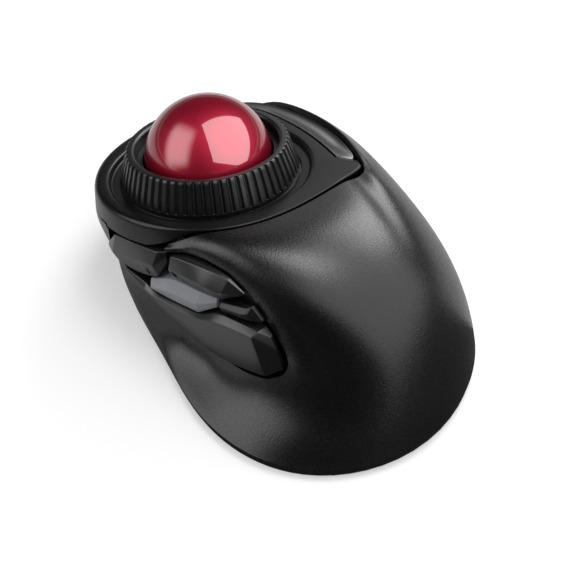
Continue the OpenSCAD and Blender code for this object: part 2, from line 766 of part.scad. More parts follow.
// Ball and its cup
module ball_core() {
    color("#5c1420") on_deck() sphere(core_r);
}
module ball_shell() {
    color(ruby) on_deck() difference() {
        sphere(ball_r);
        sphere(core_r + thin);
    }
}
module at_beads() {
    for (a = bead_angles) rotate(a) rotate([0, 90 + bead_dip, 0]) children();
}
// Half section of the cup: bowl, flange and collar
function bowl_arc(r, from, to) =
    [for (k = [0 : bowl_steps]) let (a = from + (to - from) * k / bowl_steps) r * [cos(a), sin(a)]];
cup_section = concat(
    [[cup_r, collar_rise]],
    bowl_arc(cup_r, 0, -acos(drain_r / cup_r)),
    bowl_arc(collar_r, -acos(drain_r / collar_r), asin(cup_foot_h / collar_r)),
    [[cup_flange_r, cup_foot_h], [cup_flange_r, cup_flange_h]],
    [[collar_r, cup_flange_h], [collar_r, collar_rise]]
);
module ball_cup() {
    color(graphite) difference() {
        union() {
            on_deck() {
                rotate_extrude() polygon(cup_section);
                at_beads() disc(bead_boss_r, cup_r + gap, ball_r + bead_d + bead_floor);
            }
            from_ball() for (p = leg_places) translate([p.x, p.y, 0])
                disc(leg_r, base_top, leg_top(p));
            along_sensor() at_places(sensor_posts) disc(sensor_post_r, cup_r + gap, sensor_board_from);
        }
        on_deck() {
            at_ears() disc(small_screw_r + thin, cup_foot_h - 1, cup_flange_h + 1);
            at_beads() translate([0, 0, ball_r + bead_r]) sphere(bead_r + ring_fit);
            at_ring_sensor() block(ring_sensor_size + 4 * [thin, thin, 1], [0, 0, cup_foot_h - 1]);
        }
        along_sensor() disc(lens_r + thin, 0, 2 * collar_r);
        from_ball() at_places(leg_places) disc(screw_r + screw_play, 0, base_top + screw_l + 1);
    }
}
// Height of the cup's flange over a place on the base
function leg_top(p) =
    ball_height + ((cup_foot_h + cup_flange_h) / 2 - p.x * deck_n.x - p.y * deck_n.y) / deck_n.z;
module bearing_beads() {
    color("#f2efe6") on_deck() at_beads() translate([0, 0, ball_r + bead_r]) sphere(bead_r);
}
module sensor_lens() {
    color("#a9bac6") along_sensor() disc(lens_r, lens_from, chip_from);
}
module ball_sensor() {
    color("#17181a") along_sensor() block([chip_w, chip_w, chip_t], [0, 0, chip_from]);
}
module sensor_board() {
    color(board_green) along_sensor() block(sensor_board_size, [0, 0, sensor_board_from]);
}
module at_ring_sensor() {
    rotate(-90) translate([(glide_r + ring_flange_r) / 2, 0, 0]) children();
}
module ring_sensor() {
    color("#17181a") on_deck() at_ring_sensor() block(ring_sensor_size, [0, 0, cup_foot_h]);
}
module ring_board() {
    color(board_green) on_deck() at_ring_sensor() block(ring_board_size, [0, 0, cup_foot_h - board_t]);
}

// Right button
function strip_section(s) =
    let (
        from_end = (s - strip_from - strip_end_gap) * deck_r * 0.2,
        x = min(1, from_end / strip_round),
        in = edge_r(s),
        out = seam_r(s) - seam / 2 - strip_round * (1 - sqrt(1 - pow(1 - x, 2))),
        top = [for (k = [0 : 4]) let (t = k / 4)
            [in + (out - in) * t, deck_h - strip_dip * t - strip_cove * 4 * t * (1 - t)]]
    ) concat([
        [in, deck_h - strip_t - strip_skirt], [(in + out) / 2, top[2][1] - strip_t],
        [out, top[4][1] - strip_skirt]
    ], [for (k = [4 : -1 : 0]) top[k]]);
module right_button() {
    span = strip_to - strip_from - 2 * strip_end_gap;
    places = [for (i = [0 : strip_cols]) strip_from + strip_end_gap + span * i / strip_cols];
    points = [for (s = places) let (a = station_angle(s))
        for (p = strip_section(s)) [p[0] * cos(a), p[0] * sin(a), p[1]]];
    color(satin) on_deck() difference() {
        union() {
            polyhedron(points, bar_faces(len(places), len(strip_section(20))));
            at_pivot() disc(barrel_r, barrel_from_r, barrel_to_r);
            at_plunger() disc(plunger_r, plunger_low_h, deck_h - strip_dip);
        }
        at_pivot() disc(pivot_r + ring_fit, 0, 2 * deck_r);
    }
}
module right_button_pin() {
    color(steel) on_deck() at_pivot() disc(pivot_r, pivot_from_r, pivot_to_r);
}
module right_switch() {
    color("#1a1b1d") on_deck() at_plunger() {
        block([switch_w, switch_l, switch_h - switch_nub_h], [0, 0, switch_board_h]);
        block([switch_nub.x, switch_nub.y, switch_h], [0, 0, switch_board_h]);
    }
}
module right_switch_board() {
    color(board_green) on_deck() at_plunger()
        block([switch_board_w, switch_l + 2 * switch_board_over, board_t],
            [0, 0, switch_board_h - board_t]);
}

// Thumb cluster
module key_bar(sections) {
    points = [for (c = sections) each [
        [c[0], c[1][0], -key_back], [c[0], c[1][0], c[1][1]], [c[0], c[2][0], c[2][1]],
        [c[0], c[3][0], c[3][1]], [c[0], c[3][0], -key_back]
    ]];
    polyhedron(points, bar_faces(len(sections), 5));
}
module key_with_stem(sections, stem) {
    key_bar(sections);
    translate([stem.x, stem.y, 0]) disc(stem_d / 2, stem_end, -key_back + thin);
}
module forward_button() {
    color(satin) on_thumb() key_with_stem(forward_key, stem_places[0]);
}
module back_button() {
    color(satin) on_thumb() key_with_stem(back_key, stem_places[1]);
}
module dpi_button() {
    color(silver) on_thumb() key_with_stem(speed_key, stem_places[2]);
}
module left_button() {
    color(satin) on_thumb() key_with_stem(left_key, stem_places[3]);
}
module label_plate() {
    color(graphite) on_thumb() {
        key_bar(label_field);
        translate([label_peg.x, label_peg.y, 0]) disc(label_peg_r, panel_front, -key_back + thin);
    }
}
module thumb_panel() {
    color(graphite) freeform() difference() {
        union() {
            intersection() {
                on_thumb() plate(panel_outline, panel_rear, panel_front);
                from_ball() cavity(wall + gap);
            }
            on_thumb() at_places(panel_posts) disc(post_r, tact_low, panel_rear + thin);
        }
        on_thumb() at_places(stem_places) disc(stem_d / 2 + stem_play, panel_rear - 1, panel_front + 1);
        on_thumb() at_places(panel_posts) disc(post_screw_r + thin, tact_low - 1, panel_rear - thin);
    }
}
module thumb_board() {
    color(board_green) on_thumb() difference() {
        plate(thumb_board_outline, tact_low - board_t, tact_low);
        at_places(panel_posts) disc(post_screw_r + thin, tact_low - board_t - 1, tact_low + 1);
    }
}
module thumb_switches() {
    color("#1a1b1d") on_thumb() at_places(stem_places) {
        block([tact_w, tact_w, tact_h], [0, 0, tact_low]);
        disc(stem_d / 2, tact_low, tact_top);
    }
}

// Boards, power switch and battery bay
module main_board() {
    size = [main_board_x[1] - main_board_x[0], main_board_y[1] - main_board_y[0], board_t];
    color(board_green) from_ball() difference() {
        translate([main_board_x[0], main_board_y[0], main_board_low]) cube(size);
        standoffs() disc(small_screw_r + thin, 0, main_board_low + board_t + 1);
    }
}
module radio_chip() {
    color("#17181a") from_ball()
        block(radio_size, [radio_place.x, radio_place.y, main_board_low + board_t]);
}
module power_switch_body() {
    color(steel) from_ball()
        block([knob_l + knob_travel + 2 * power_body_over, power_body_w, main_board_low - base_top - gap],
            [knob_place.x, knob_place.y, base_top + gap]);
}
module power_knob() {
    color(silver) from_ball()
        block([knob_l, knob_w, base_top - knob_low],
            [knob_place.x - knob_travel / 2, knob_place.y, knob_low]);
}
module arch(half, length) {
    arc = [for (k = [0 : roof_steps]) let (a = 180 * k / roof_steps)
        [half * cos(a), tray_axis_h + half * sin(a)]];
    translate([battery_mid.x - length / 2, battery_mid.y, base_top]) rotate([90, 0, 90])
        linear_extrude(length) polygon(concat([[half, -eps]], arc, [[-half, -eps]]));
}
module battery_tray() {
    color(graphite) from_ball() difference() {
        union() {
            arch(tray_w / 2 + tray_wall, tray_l + 2 * tray_wall);
            block([stow_l + 2 * tray_wall, stow_w + 2 * tray_wall, receiver_w + gap + tray_wall],
                [battery_mid.x, stow_mid_y, base_top]);
        }
        arch(tray_w / 2, tray_l);
        block([stow_l, stow_w, receiver_w + gap], [battery_mid.x, stow_mid_y, base_top - eps]);
        disc(2 * deck_r + 4 * tray_l, base_top - 1, base_top);
    }
}
module along_battery() {
    from_ball() translate([battery_mid.x, battery_mid.y, base_top + gap + battery_r])
        rotate([0, 90, 0]) children();
}
module battery() {
    color("#5a6470") along_battery() {
        disc(battery_r, -battery_l / 2, battery_l / 2 - nub_l);
        disc(nub_r, battery_l / 2 - nub_l - thin, battery_l / 2);
    }
}
module battery_contact_plus() {
    color(steel) along_battery() {
        block([contact_w, contact_w, contact_t], [0, 0, tray_l / 2 - contact_t]);
        disc(stud_r, battery_l / 2 + thin, tray_l / 2 - contact_t + thin);
    }
}
module battery_contact_minus() {
    reach = contact_space - thin;
    color(steel) along_battery() translate([0, spring_w / 2, -tray_l / 2]) rotate([90, 0, 0])
        linear_extrude(spring_w) polygon([
            [-5, 0], [5, 0], [5, contact_t], [-4, contact_t], [1, reach - contact_t],
            [4, reach - contact_t - 0.6], [4, reach - 0.6], [1, reach], [-5, contact_t]
        ]);
}
module receiver_cap() {
    color(graphite) from_ball() block([receiver_cap_l, receiver_t, receiver_w],
        [battery_mid.x - receiver_l / 2 + receiver_cap_l / 2, stow_mid_y, base_top]);
}
module receiver_plug() {
    l = receiver_l - receiver_cap_l;
    color(steel) from_ball() block([l, plug_t, plug_w],
        [battery_mid.x + receiver_l / 2 - l / 2, stow_mid_y, base_top + (receiver_w - plug_w) / 2]);
}

// Screws
module screw(head_r, head_t, shank_r, length) {
    difference() {
        union() {
            disc(head_r, 0, head_t);
            disc(shank_r, head_t - thin, head_t + length);
        }
        translate([-head_r, -driver_slot / 2, -1]) cube([2 * head_r, driver_slot, 1 + head_t / 2]);
    }
}
module case_screws() {
    color(steel) from_ball() screw_sites() translate([0, 0, foot_h + gap])
        screw(screw_head_r, screw_head_t, screw_r, base_top - foot_h - screw_head_t + screw_l - 1);
}
module cup_screws() {
    color(steel) on_deck() at_ears() translate([0, 0, cup_foot_h - small_head_t])
        screw(small_head_r, small_head_t, small_screw_r, cup_flange_t + 2);
}
module board_screws() {
    color(steel) {
        from_ball() standoffs() translate([0, 0, main_board_low + board_t + small_head_t])
            rotate([180, 0, 0]) screw(small_head_r, small_head_t, small_screw_r, board_t + standoff_grip);
        on_thumb() at_places(panel_posts) translate([0, 0, tact_low - board_t - small_head_t])
            screw(small_head_r, small_head_t, small_screw_r, board_t + post_grip);
    }
}

palm_shell();
deck_bezel();
base_plate();
battery_door();
feet();
scroll_ring();
ring_encoder_track();
ring_glide();
ball_core();
ball_shell();
ball_cup();
bearing_beads();
sensor_lens();
ball_sensor();
sensor_board();
ring_sensor();
ring_board();
right_button();
right_button_pin();
right_switch();
right_switch_board();
thumb_panel();
left_button();
forward_button();
back_button();
dpi_button();
label_plate();
thumb_board();
thumb_switches();
main_board();
radio_chip();
power_switch_body();
power_knob();
battery_tray();
battery();
battery_contact_plus();
battery_contact_minus();
receiver_cap();
receiver_plug();
case_screws();
cup_screws();
board_screws();
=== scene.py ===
"""Looks of a right-handed trackball mouse, dressed round its construction model.

Sizes in the classes are millimetres. Plan places are measured from the upright axis through the
ball's centre and moved to the model's frame when a mesh is written, which is in metres.
"""
import logging
import math
from dataclasses import dataclass
from enum import Enum
from typing import Sequence

import bpy
import numpy as np
from mathutils import Matrix


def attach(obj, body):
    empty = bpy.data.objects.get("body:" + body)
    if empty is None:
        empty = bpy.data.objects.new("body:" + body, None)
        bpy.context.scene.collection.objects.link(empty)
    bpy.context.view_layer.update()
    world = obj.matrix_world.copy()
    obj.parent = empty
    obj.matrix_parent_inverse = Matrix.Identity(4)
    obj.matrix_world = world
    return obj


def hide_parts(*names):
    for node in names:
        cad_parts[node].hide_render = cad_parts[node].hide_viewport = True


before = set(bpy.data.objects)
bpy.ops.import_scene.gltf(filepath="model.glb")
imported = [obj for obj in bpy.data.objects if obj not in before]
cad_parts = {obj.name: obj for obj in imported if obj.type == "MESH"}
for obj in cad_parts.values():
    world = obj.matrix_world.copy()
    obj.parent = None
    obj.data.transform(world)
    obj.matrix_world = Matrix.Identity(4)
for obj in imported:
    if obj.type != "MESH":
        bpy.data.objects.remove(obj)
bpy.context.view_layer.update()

LOG = logging.getLogger("trackball")
MM = 0.001
Array = np.ndarray
Socket = bpy.types.NodeSocket
# Most of a side that a rounded corner may use
SIDE_SHARE = 0.48
# Degrees from which an edge is drawn sharp
SHARP_ANGLE = 32.0


class Body(Enum):
    """Bodies of the construction model that pieces ride on."""

    HOUSING = "housing"
    RING = "scroll_ring"
    BALL = "ball_shell"
    RIGHT = "right_button"
    LEFT = "left_button"
    FORWARD = "forward_button"
    BACK = "back_button"
    SPEED = "dpi_button"


# Curves and grids


def spline_weights(u: Array) -> Array:
    """Weights of the four neighbours of a uniform cubic B-spline at share u of a span.

    Args:
        u: Shares from 0 to 1, of any shape.

    Returns:
        The weights on a new last axis of length four.
    """
    return np.stack([(1 - u) ** 3, 3 * u**3 - 6 * u**2 + 4, -3 * u**3 + 3 * u**2 + 3 * u + 1, u**3], -1) / 6


def loop_value(values: Sequence[float], place: Array, turn: float = 0.0) -> Array:
    """Value of a closed B-spline that has a list of entries as its control values.

    Args:
        values: One entry per unit of place.
        place: Places along the loop, where one turn is the number of entries.
        turn: What a value gains with each full turn.

    Returns:
        The weighted sum of the four entries round each place.
    """
    entries, place = np.asarray(values, float), np.asarray(place, float)
    first = np.floor(place).astype(int)
    index = first[..., None] + np.arange(-1, 3)
    near = entries[index % len(entries)] + turn * (index // len(entries))
    return (spline_weights(place - first) * near).sum(-1)


def soften(points: Array, reach: Sequence[float] | float, steps: int, closed: bool) -> Array:
    """Rounds the corners of polylines: each corner becomes a parabola between points before and after it.

    Args:
        points: Polylines, shape (..., points, axes).
        reach: How far the rounding goes from a corner, one for all or one each, at most SIDE_SHARE of a side.
        steps: Points on each rounded corner.
        closed: Whether the last point joins the first; the ends of an open line stay as they are.

    Returns:
        Polylines of shape (..., new points, axes).
    """
    before, after = np.roll(points, 1, -2) - points, np.roll(points, -1, -2) - points
    long_before = np.linalg.norm(before, axis=-1, keepdims=True)
    long_after = np.linalg.norm(after, axis=-1, keepdims=True)
    wanted = np.broadcast_to(np.asarray(reach, float), points.shape[:-1])[..., None]
    wanted = np.minimum(wanted, SIDE_SHARE * np.minimum(long_before, long_after))
    start = points + before / np.maximum(long_before, 1e-9) * wanted
    end = points + after / np.maximum(long_after, 1e-9) * wanted
    u = np.linspace(0, 1, steps)[:, None]
    start, middle, end = start[..., None, :], points[..., None, :], end[..., None, :]
    arcs = (1 - u) ** 2 * start + 2 * u * (1 - u) * middle + u**2 * end
    if closed:
        return arcs.reshape(*points.shape[:-2], -1, points.shape[-1])
    inner = arcs[..., 1:-1, :, :].reshape(*points.shape[:-2], -1, points.shape[-1])
    return np.concatenate([points[..., :1, :], inner, points[..., -1:, :]], -2)


def grid_faces(rows: int, cols: int, wrap_rows: bool, wrap_cols: bool) -> Array:
    """Quads of a grid of points stored row after row.

    Args:
        rows: Number of rows of points.
        cols: Number of points in a row.
        wrap_rows: Whether the last row joins the first.
        wrap_cols: Whether each row closes on itself.

    Returns:
        Point numbers, shape (faces, 4).
    """
    last_row, last_col = rows if wrap_rows else rows - 1, cols if wrap_cols else cols - 1
    i, j = np.meshgrid(np.arange(last_row), np.arange(last_col), indexing="ij")
    k, m = (i + 1) % rows, (j + 1) % cols
    return np.stack([i * cols + j, i * cols + m, k * cols + m, k * cols + j], -1).reshape(-1, 4)


def distance_to_path(points: Array, path: Array) -> tuple[Array, Array]:
    """Distance of points to a polyline, and how far along it the nearest place is.

    Args:
        points: Points, shape (..., 3).
        path: The polyline, shape (n, 3).

    Returns:
        Distances, and shares of the path's length from 0 to 1.
    """
    start, run = path[:-1], np.diff(path, axis=0)
    length = np.linalg.norm(run, axis=1)
    along = ((points[..., None, :] - start) * run).sum(-1) / length**2
    along = np.clip(along, 0, 1)
    gap = np.linalg.norm(points[..., None, :] - start - along[..., None] * run, axis=-1)
    best = gap.argmin(-1)
    travelled = np.concatenate([[0], np.cumsum(length)[:-1]])
    part = np.take_along_axis(along, best[..., None], -1)[..., 0]
    return gap.min(-1), (travelled[best] + part * length[best]) / length.sum()


def smooth_step(low: float, high: float, x: Array) -> Array:
    """Goes from 0 at low to 1 at high along 3 t^2 - 2 t^3."""
    t = np.clip((x - low) / (high - low), 0, 1)
    return t * t * (3 - 2 * t)


def window(rise: Sequence[float], fall: Sequence[float], x: Array) -> Array:
    """Goes from 0 to 1 over the span of rise and back to 0 over the span of fall, which comes after it."""
    return smooth_step(*rise, x) - smooth_step(*fall, x)


# Finishes


def linear(hex_colour: str) -> tuple[float, float, float, float]:
    """Turns an sRGB hex value into linear red, green, blue and full opacity."""
    parts = [int(hex_colour[k:k + 2], 16) / 255 for k in (1, 3, 5)]
    return (*(c / 12.92 if c <= 0.04045 else ((c + 0.055) / 1.055) ** 2.4 for c in parts), 1.0)


WHITE = linear("#ffffff")


def add_node(tree: bpy.types.NodeTree, kind: str, inputs: dict | None = None,
             **settings: object) -> bpy.types.Node:
    """Adds a node with its settings, values and links.

    Args:
        tree: The node tree.
        kind: The node's type name.
        inputs: Socket name or number to a value, or to an output socket that it is linked to.
        settings: Properties of the node.

    Returns:
        The new node.
    """
    node = tree.nodes.new(kind)
    for name, value in settings.items():
        setattr(node, name, value)
    for name, value in (inputs or {}).items():
        if isinstance(value, bpy.types.NodeSocket):
            tree.links.new(value, node.inputs[name])
        else:
            node.inputs[name].default_value = value
    return node


def per_metre(size_mm: float) -> float:
    """Texture scale that makes one feature about size_mm wide on Object coordinates."""
    return 1.0 / (size_mm * MM)


@dataclass(frozen=True)
class Finish:
    """A moulded, cast or metal surface: colour with slow drift, grain in the bump, worn edges.

    Attributes:
        name: Common name of the material and how its surface was made.
        colour: Main colour.
        drift: Colour that slow patches lean to.
        worn: Colour of rubbed edges.
        rough: Least and most roughness over the surface.
        grain_mm: Width of the fine grain.
        grain_depth: Height of the grain in millimetres.
        patch_mm: Width of the slow patches.
        ior: Index of refraction.
        specular: Specular level of the plain layer.
        metallic: 1 for metal.
        coat: Weight of a clear layer on top.
        coat_rough: Roughness of that layer.
        coat_ior: Index of refraction of that layer.
        transmission: 1 for clear pieces.
        wear: How strongly edges lean to the worn colour.
        edge_pointiness: From where to where an edge counts as rubbed.
        grain_spread: Noise values that get the least and the most roughness.
    """

    name: str
    colour: str
    drift: str
    worn: str
    rough: tuple[float, float]
    grain_mm: float = 0.4
    grain_depth: float = 0.01
    patch_mm: float = 18.0
    ior: float = 1.5
    specular: float = 0.5
    metallic: float = 0.0
    coat: float = 0.0
    coat_rough: float = 0.03
    coat_ior: float = 1.5
    transmission: float = 0.0
    wear: float = 0.25
    edge_pointiness: tuple[float, float] = (0.53, 0.62)
    grain_spread: tuple[float, float] = (0.3, 0.7)

    def material(self) -> bpy.types.Material:
        """Builds the node material, or returns the one built before.

        Returns:
            A material on Object coordinates.
        """
        if self.name in bpy.data.materials:
            return bpy.data.materials[self.name]
        mat = bpy.data.materials.new(self.name)
        mat.use_nodes = True
        mat.diffuse_color = linear(self.colour)
        tree = mat.node_tree
        tree.nodes.clear()
        where = add_node(tree, "ShaderNodeTexCoord").outputs["Object"]
        patch = add_node(tree, "ShaderNodeTexNoise", {"Vector": where, "Scale": per_metre(self.patch_mm),
                                                      "Detail": 3.0, "Roughness": 0.6})
        grain = add_node(tree, "ShaderNodeTexNoise", {"Vector": where, "Scale": per_metre(self.grain_mm),
                                                      "Detail": 2.0, "Roughness": 0.55})
        edge = add_node(tree, "ShaderNodeMapRange", {
            "Value": add_node(tree, "ShaderNodeNewGeometry").outputs["Pointiness"],
            "From Min": self.edge_pointiness[0], "From Max": self.edge_pointiness[1],
            "To Min": 0.0, "To Max": self.wear})
        colour = self._mixed(tree, patch.outputs["Fac"], linear(self.colour), linear(self.drift))
        colour = self._mixed(tree, edge.outputs["Result"], colour, linear(self.worn))
        rub = add_node(tree, "ShaderNodeMapRange", {
            "Value": grain.outputs["Fac"], "From Min": self.grain_spread[0], "From Max": self.grain_spread[1],
            "To Min": self.rough[0], "To Max": self.rough[1]})
        bump = add_node(tree, "ShaderNodeBump", {"Height": grain.outputs["Fac"], "Strength": 1.0,
                                                 "Distance": self.grain_depth * MM})
        shader = add_node(tree, "ShaderNodeBsdfPrincipled", {
            "Base Color": colour, "Roughness": rub.outputs["Result"], "Normal": bump.outputs["Normal"],
            "Metallic": self.metallic, "IOR": self.ior, "Specular IOR Level": self.specular,
            "Coat Weight": self.coat, "Coat Roughness": self.coat_rough, "Coat IOR": self.coat_ior,
            "Transmission Weight": self.transmission})
        add_node(tree, "ShaderNodeOutputMaterial", {"Surface": shader.outputs["BSDF"]})
        return mat

    @staticmethod
    def _mixed(tree: bpy.types.NodeTree, share: Socket, one: tuple | Socket, other: tuple) -> Socket:
        """Adds a mix of two colours.

        Args:
            tree: The material's node tree.
            share: How much of the other colour shows.
            one: A colour, or an output socket that gives it.
            other: The colour that is mixed in.

        Returns:
            The socket of the mixed colour.
        """
        mix = tree.nodes.new("ShaderNodeMix")
        mix.data_type = "RGBA"
        tree.links.new(share, mix.inputs[0])
        for socket, value in ((mix.inputs[6], one), (mix.inputs[7], other)):
            if isinstance(value, bpy.types.NodeSocket):
                tree.links.new(value, socket)
            else:
                socket.default_value = value
        return mix.outputs[2]


# Spark-eroded tool texture on ABS: a matt grain, drawn coarser than the real one so that it shows
SHELL = Finish("abs_spark_eroded_charcoal", "#080809", "#0b0b0c", "#16171a", (0.25, 0.35), 0.55, 0.06,
               specular=0.65)
# Finer texture of the deck and band: hardly any grain, and a darker, weaker sheen
DECK = Finish("abs_satin_deck", "#070707", "#0a0a0b", "#1a1b1c", (0.28, 0.36), 0.35, 0.006, specular=0.48)
# The same texture on the keys, with a stronger sheen: facets that catch more light
KEYS = Finish("abs_satin_keys", "#101011", "#131415", "#242528", (0.28, 0.36), 0.35, 0.006, specular=1.0)
# Grey-dyed ABS, satin: an even light grey with a broad, weak highlight
SPEED_KEY = Finish("abs_satin_grey", "#96989d", "#9ea0a5", "#b2b4b8", (0.38, 0.46), 0.35, 0.004)
# Smooth tool face on ABS: black with an even sheen and no visible grain
TRIM = Finish("abs_gloss_black", "#121314", "#161718", "#2a2b2e", (0.3, 0.38), 0.35, 0.003)
# Plain moulded ABS of pieces that nobody looks at: dull and slightly greyer
BASE = Finish("abs_moulded_base", "#141516", "#18191b", "#2a2b2e", (0.46, 0.58), 0.5, 0.01)
# Elastomer moulded over the ring: black, with soft lights on the ribs
RING = Finish("elastomer_over_moulded_ring", "#0e0e0f", "#121314", "#242528", (0.3, 0.38), 0.4, 0.006,
              specular=0.8)
# Fine metal flake in red resin under a polished clear layer: a broad red glow below sharp reflections
BALL = Finish("polyester_resin_flake_cast_polished", "#840422", "#920626", "#920626", (0.4, 0.48), 0.3, 0.0,
              9.0, metallic=0.7, coat=1.0, coat_rough=0.015, coat_ior=1.7, wear=0.0)
# Unpolished cast resin inside the ball: dull dark red
CORE = Finish("polyester_resin_cast_core", "#5c1420", "#6a1826", "#6a1826", (0.4, 0.5))
# Moulded acetal: slick and black, with a waxy shine
CUP = Finish("acetal_moulded_cup", "#101112", "#141516", "#232427", (0.34, 0.42), 0.4, 0.004)
# Polished zirconia: ivory white and nearly mirror smooth
BEAD = Finish("zirconia_polished_bead", "#ece9e0", "#f2efe6", "#f6f4ee", (0.08, 0.12), 0.2, 0.0, ior=2.1)
# Skived fluoropolymer sheet: milky white with a weak, broad shine
GLIDE = Finish("ptfe_skived_washer", "#dedbd2", "#e6e3da", "#f0ede6", (0.4, 0.5))
# Moulded acrylic: clear, with clean reflections
LENS = Finish("acrylic_moulded_lens", "#dfe7ec", "#e6edf1", "#ffffff", (0.02, 0.05), ior=1.49,
              transmission=1.0)
# Glass-filled epoxy under solder mask: green with a soft shine
BOARD = Finish("glass_epoxy_board", "#1f5a3c", "#1a4e34", "#7d7a4e", (0.32, 0.42), 0.3, 0.004)
# Moulded epoxy of chips and switches: matt black with a fine grit
CHIP = Finish("epoxy_moulded_chip", "#161719", "#1b1c1e", "#2c2d30", (0.5, 0.62), 0.15, 0.006)
# Nickel-plated steel: bright grey metal with slightly blurred reflections
STEEL = Finish("steel_nickel_plated", "#b9bbbe", "#c6c8cb", "#d8dadc", (0.22, 0.34), 0.6, 0.003, metallic=1.0)
# Shrunk vinyl film: blue-grey with a tight satin shine
WRAP = Finish("pvc_shrink_wrap", "#56606c", "#5e6874", "#8a929c", (0.28, 0.36), 0.6, 0.003)
# Moulded silicone: black and almost without shine
RUBBER = Finish("silicone_moulded_feet", "#0f1011", "#141516", "#1c1d1e", (0.6, 0.72), 0.5, 0.01)

NODE_FINISHES = {
    BASE: ("base_plate", "battery_door", "battery_tray", "thumb_panel", "receiver_cap"),
    RUBBER: ("feet",),
    CUP: ("ball_cup",),
    CORE: ("ball_core",),
    BEAD: ("bearing_beads",),
    GLIDE: ("ring_glide",),
    LENS: ("sensor_lens",),
    BOARD: ("sensor_board", "ring_board", "right_switch_board", "thumb_board", "main_board"),
    CHIP: ("ball_sensor", "ring_sensor", "right_switch", "thumb_switches", "radio_chip"),
    STEEL: ("ring_encoder_track", "right_button_pin", "power_switch_body", "battery_contact_plus",
            "battery_contact_minus", "receiver_plug", "case_screws", "cup_screws", "board_screws"),
    SPEED_KEY: ("power_knob",),
    WRAP: ("battery",),
}


# Frames and the body's skin


@dataclass(frozen=True)
class Deck:
    """The sloping deck and the stack of ring and moat on the ball's axis.

    Pitch and roll are degrees. Names that end in _r are radii round the axis, and names that end in _h, like
    rise, are heights along it from the ball's centre.
    """

    pitch: float = 13.5
    roll: float = 1.0
    ball_height: float = 46.0
    ball_r: float = 20.0
    bore_r: float = 22.48
    rim_r: float = 25.58
    foot_r: float = 28.18
    flange_r: float = 30.18
    lip_r: float = 28.58
    moat_r: float = 31.28
    deck_r: float = 36.28
    rise: float = 4.7
    deck_h: float = -4.5
    moat_h: float = -6.2
    lip_h: float = -6.7
    foot_h: float = -5.2
    flange_top_h: float = -7.0
    flange_h: float = -8.4
    band_low_h: float = -11.5

    def axes(self) -> Array:
        """The deck's own axes, pitched forward and then rolled.

        Returns:
            The x, y and upright axes as rows.
        """
        p, r = math.radians(self.pitch), math.radians(self.roll)
        return np.array([[math.cos(r), 0, -math.sin(r)],
                         [-math.sin(p) * math.sin(r), math.cos(p), -math.sin(p) * math.cos(r)],
                         [math.cos(p) * math.sin(r), math.sin(p), math.cos(p) * math.cos(r)]])

    def place(self, points: Array) -> Array:
        """Moves points on the deck's axes, measured from the ball's centre, to plan places."""
        return points @ self.axes() + np.array([0, 0, self.ball_height])

    def turned(self, angle: Array, radius: Array, height: Array) -> Array:
        """Points on turned forms round the ball's axis.

        Args:
            angle: Angles in degrees.
            radius: Distances from the axis.
            height: Heights along the axis from the ball's centre.

        Returns:
            Plan places, with the three axes last.
        """
        a = np.radians(angle)
        local = np.broadcast_arrays(radius * np.cos(a), radius * np.sin(a), height)
        return self.place(np.stack(local, -1))


@dataclass(frozen=True)
class ThumbWall:
    """The plane that the thumb keys stand on: x to the rear, y up, z out of the wall."""

    place_x: float = -35.7
    place_y: float = -7.4
    level: float = 24.0
    turn: float = -69.0

    def place(self, points: Array) -> Array:
        """Moves points to plan places.

        Args:
            points: Points on the wall's axes, shape (..., 3).

        Returns:
            Plan places of the same shape.
        """
        a = math.radians(self.turn)
        axes = np.array([[math.cos(a), math.sin(a), 0], [0, 0, 1], [math.sin(a), -math.cos(a), 0]])
        return points @ axes + np.array([self.place_x, self.place_y, self.level])


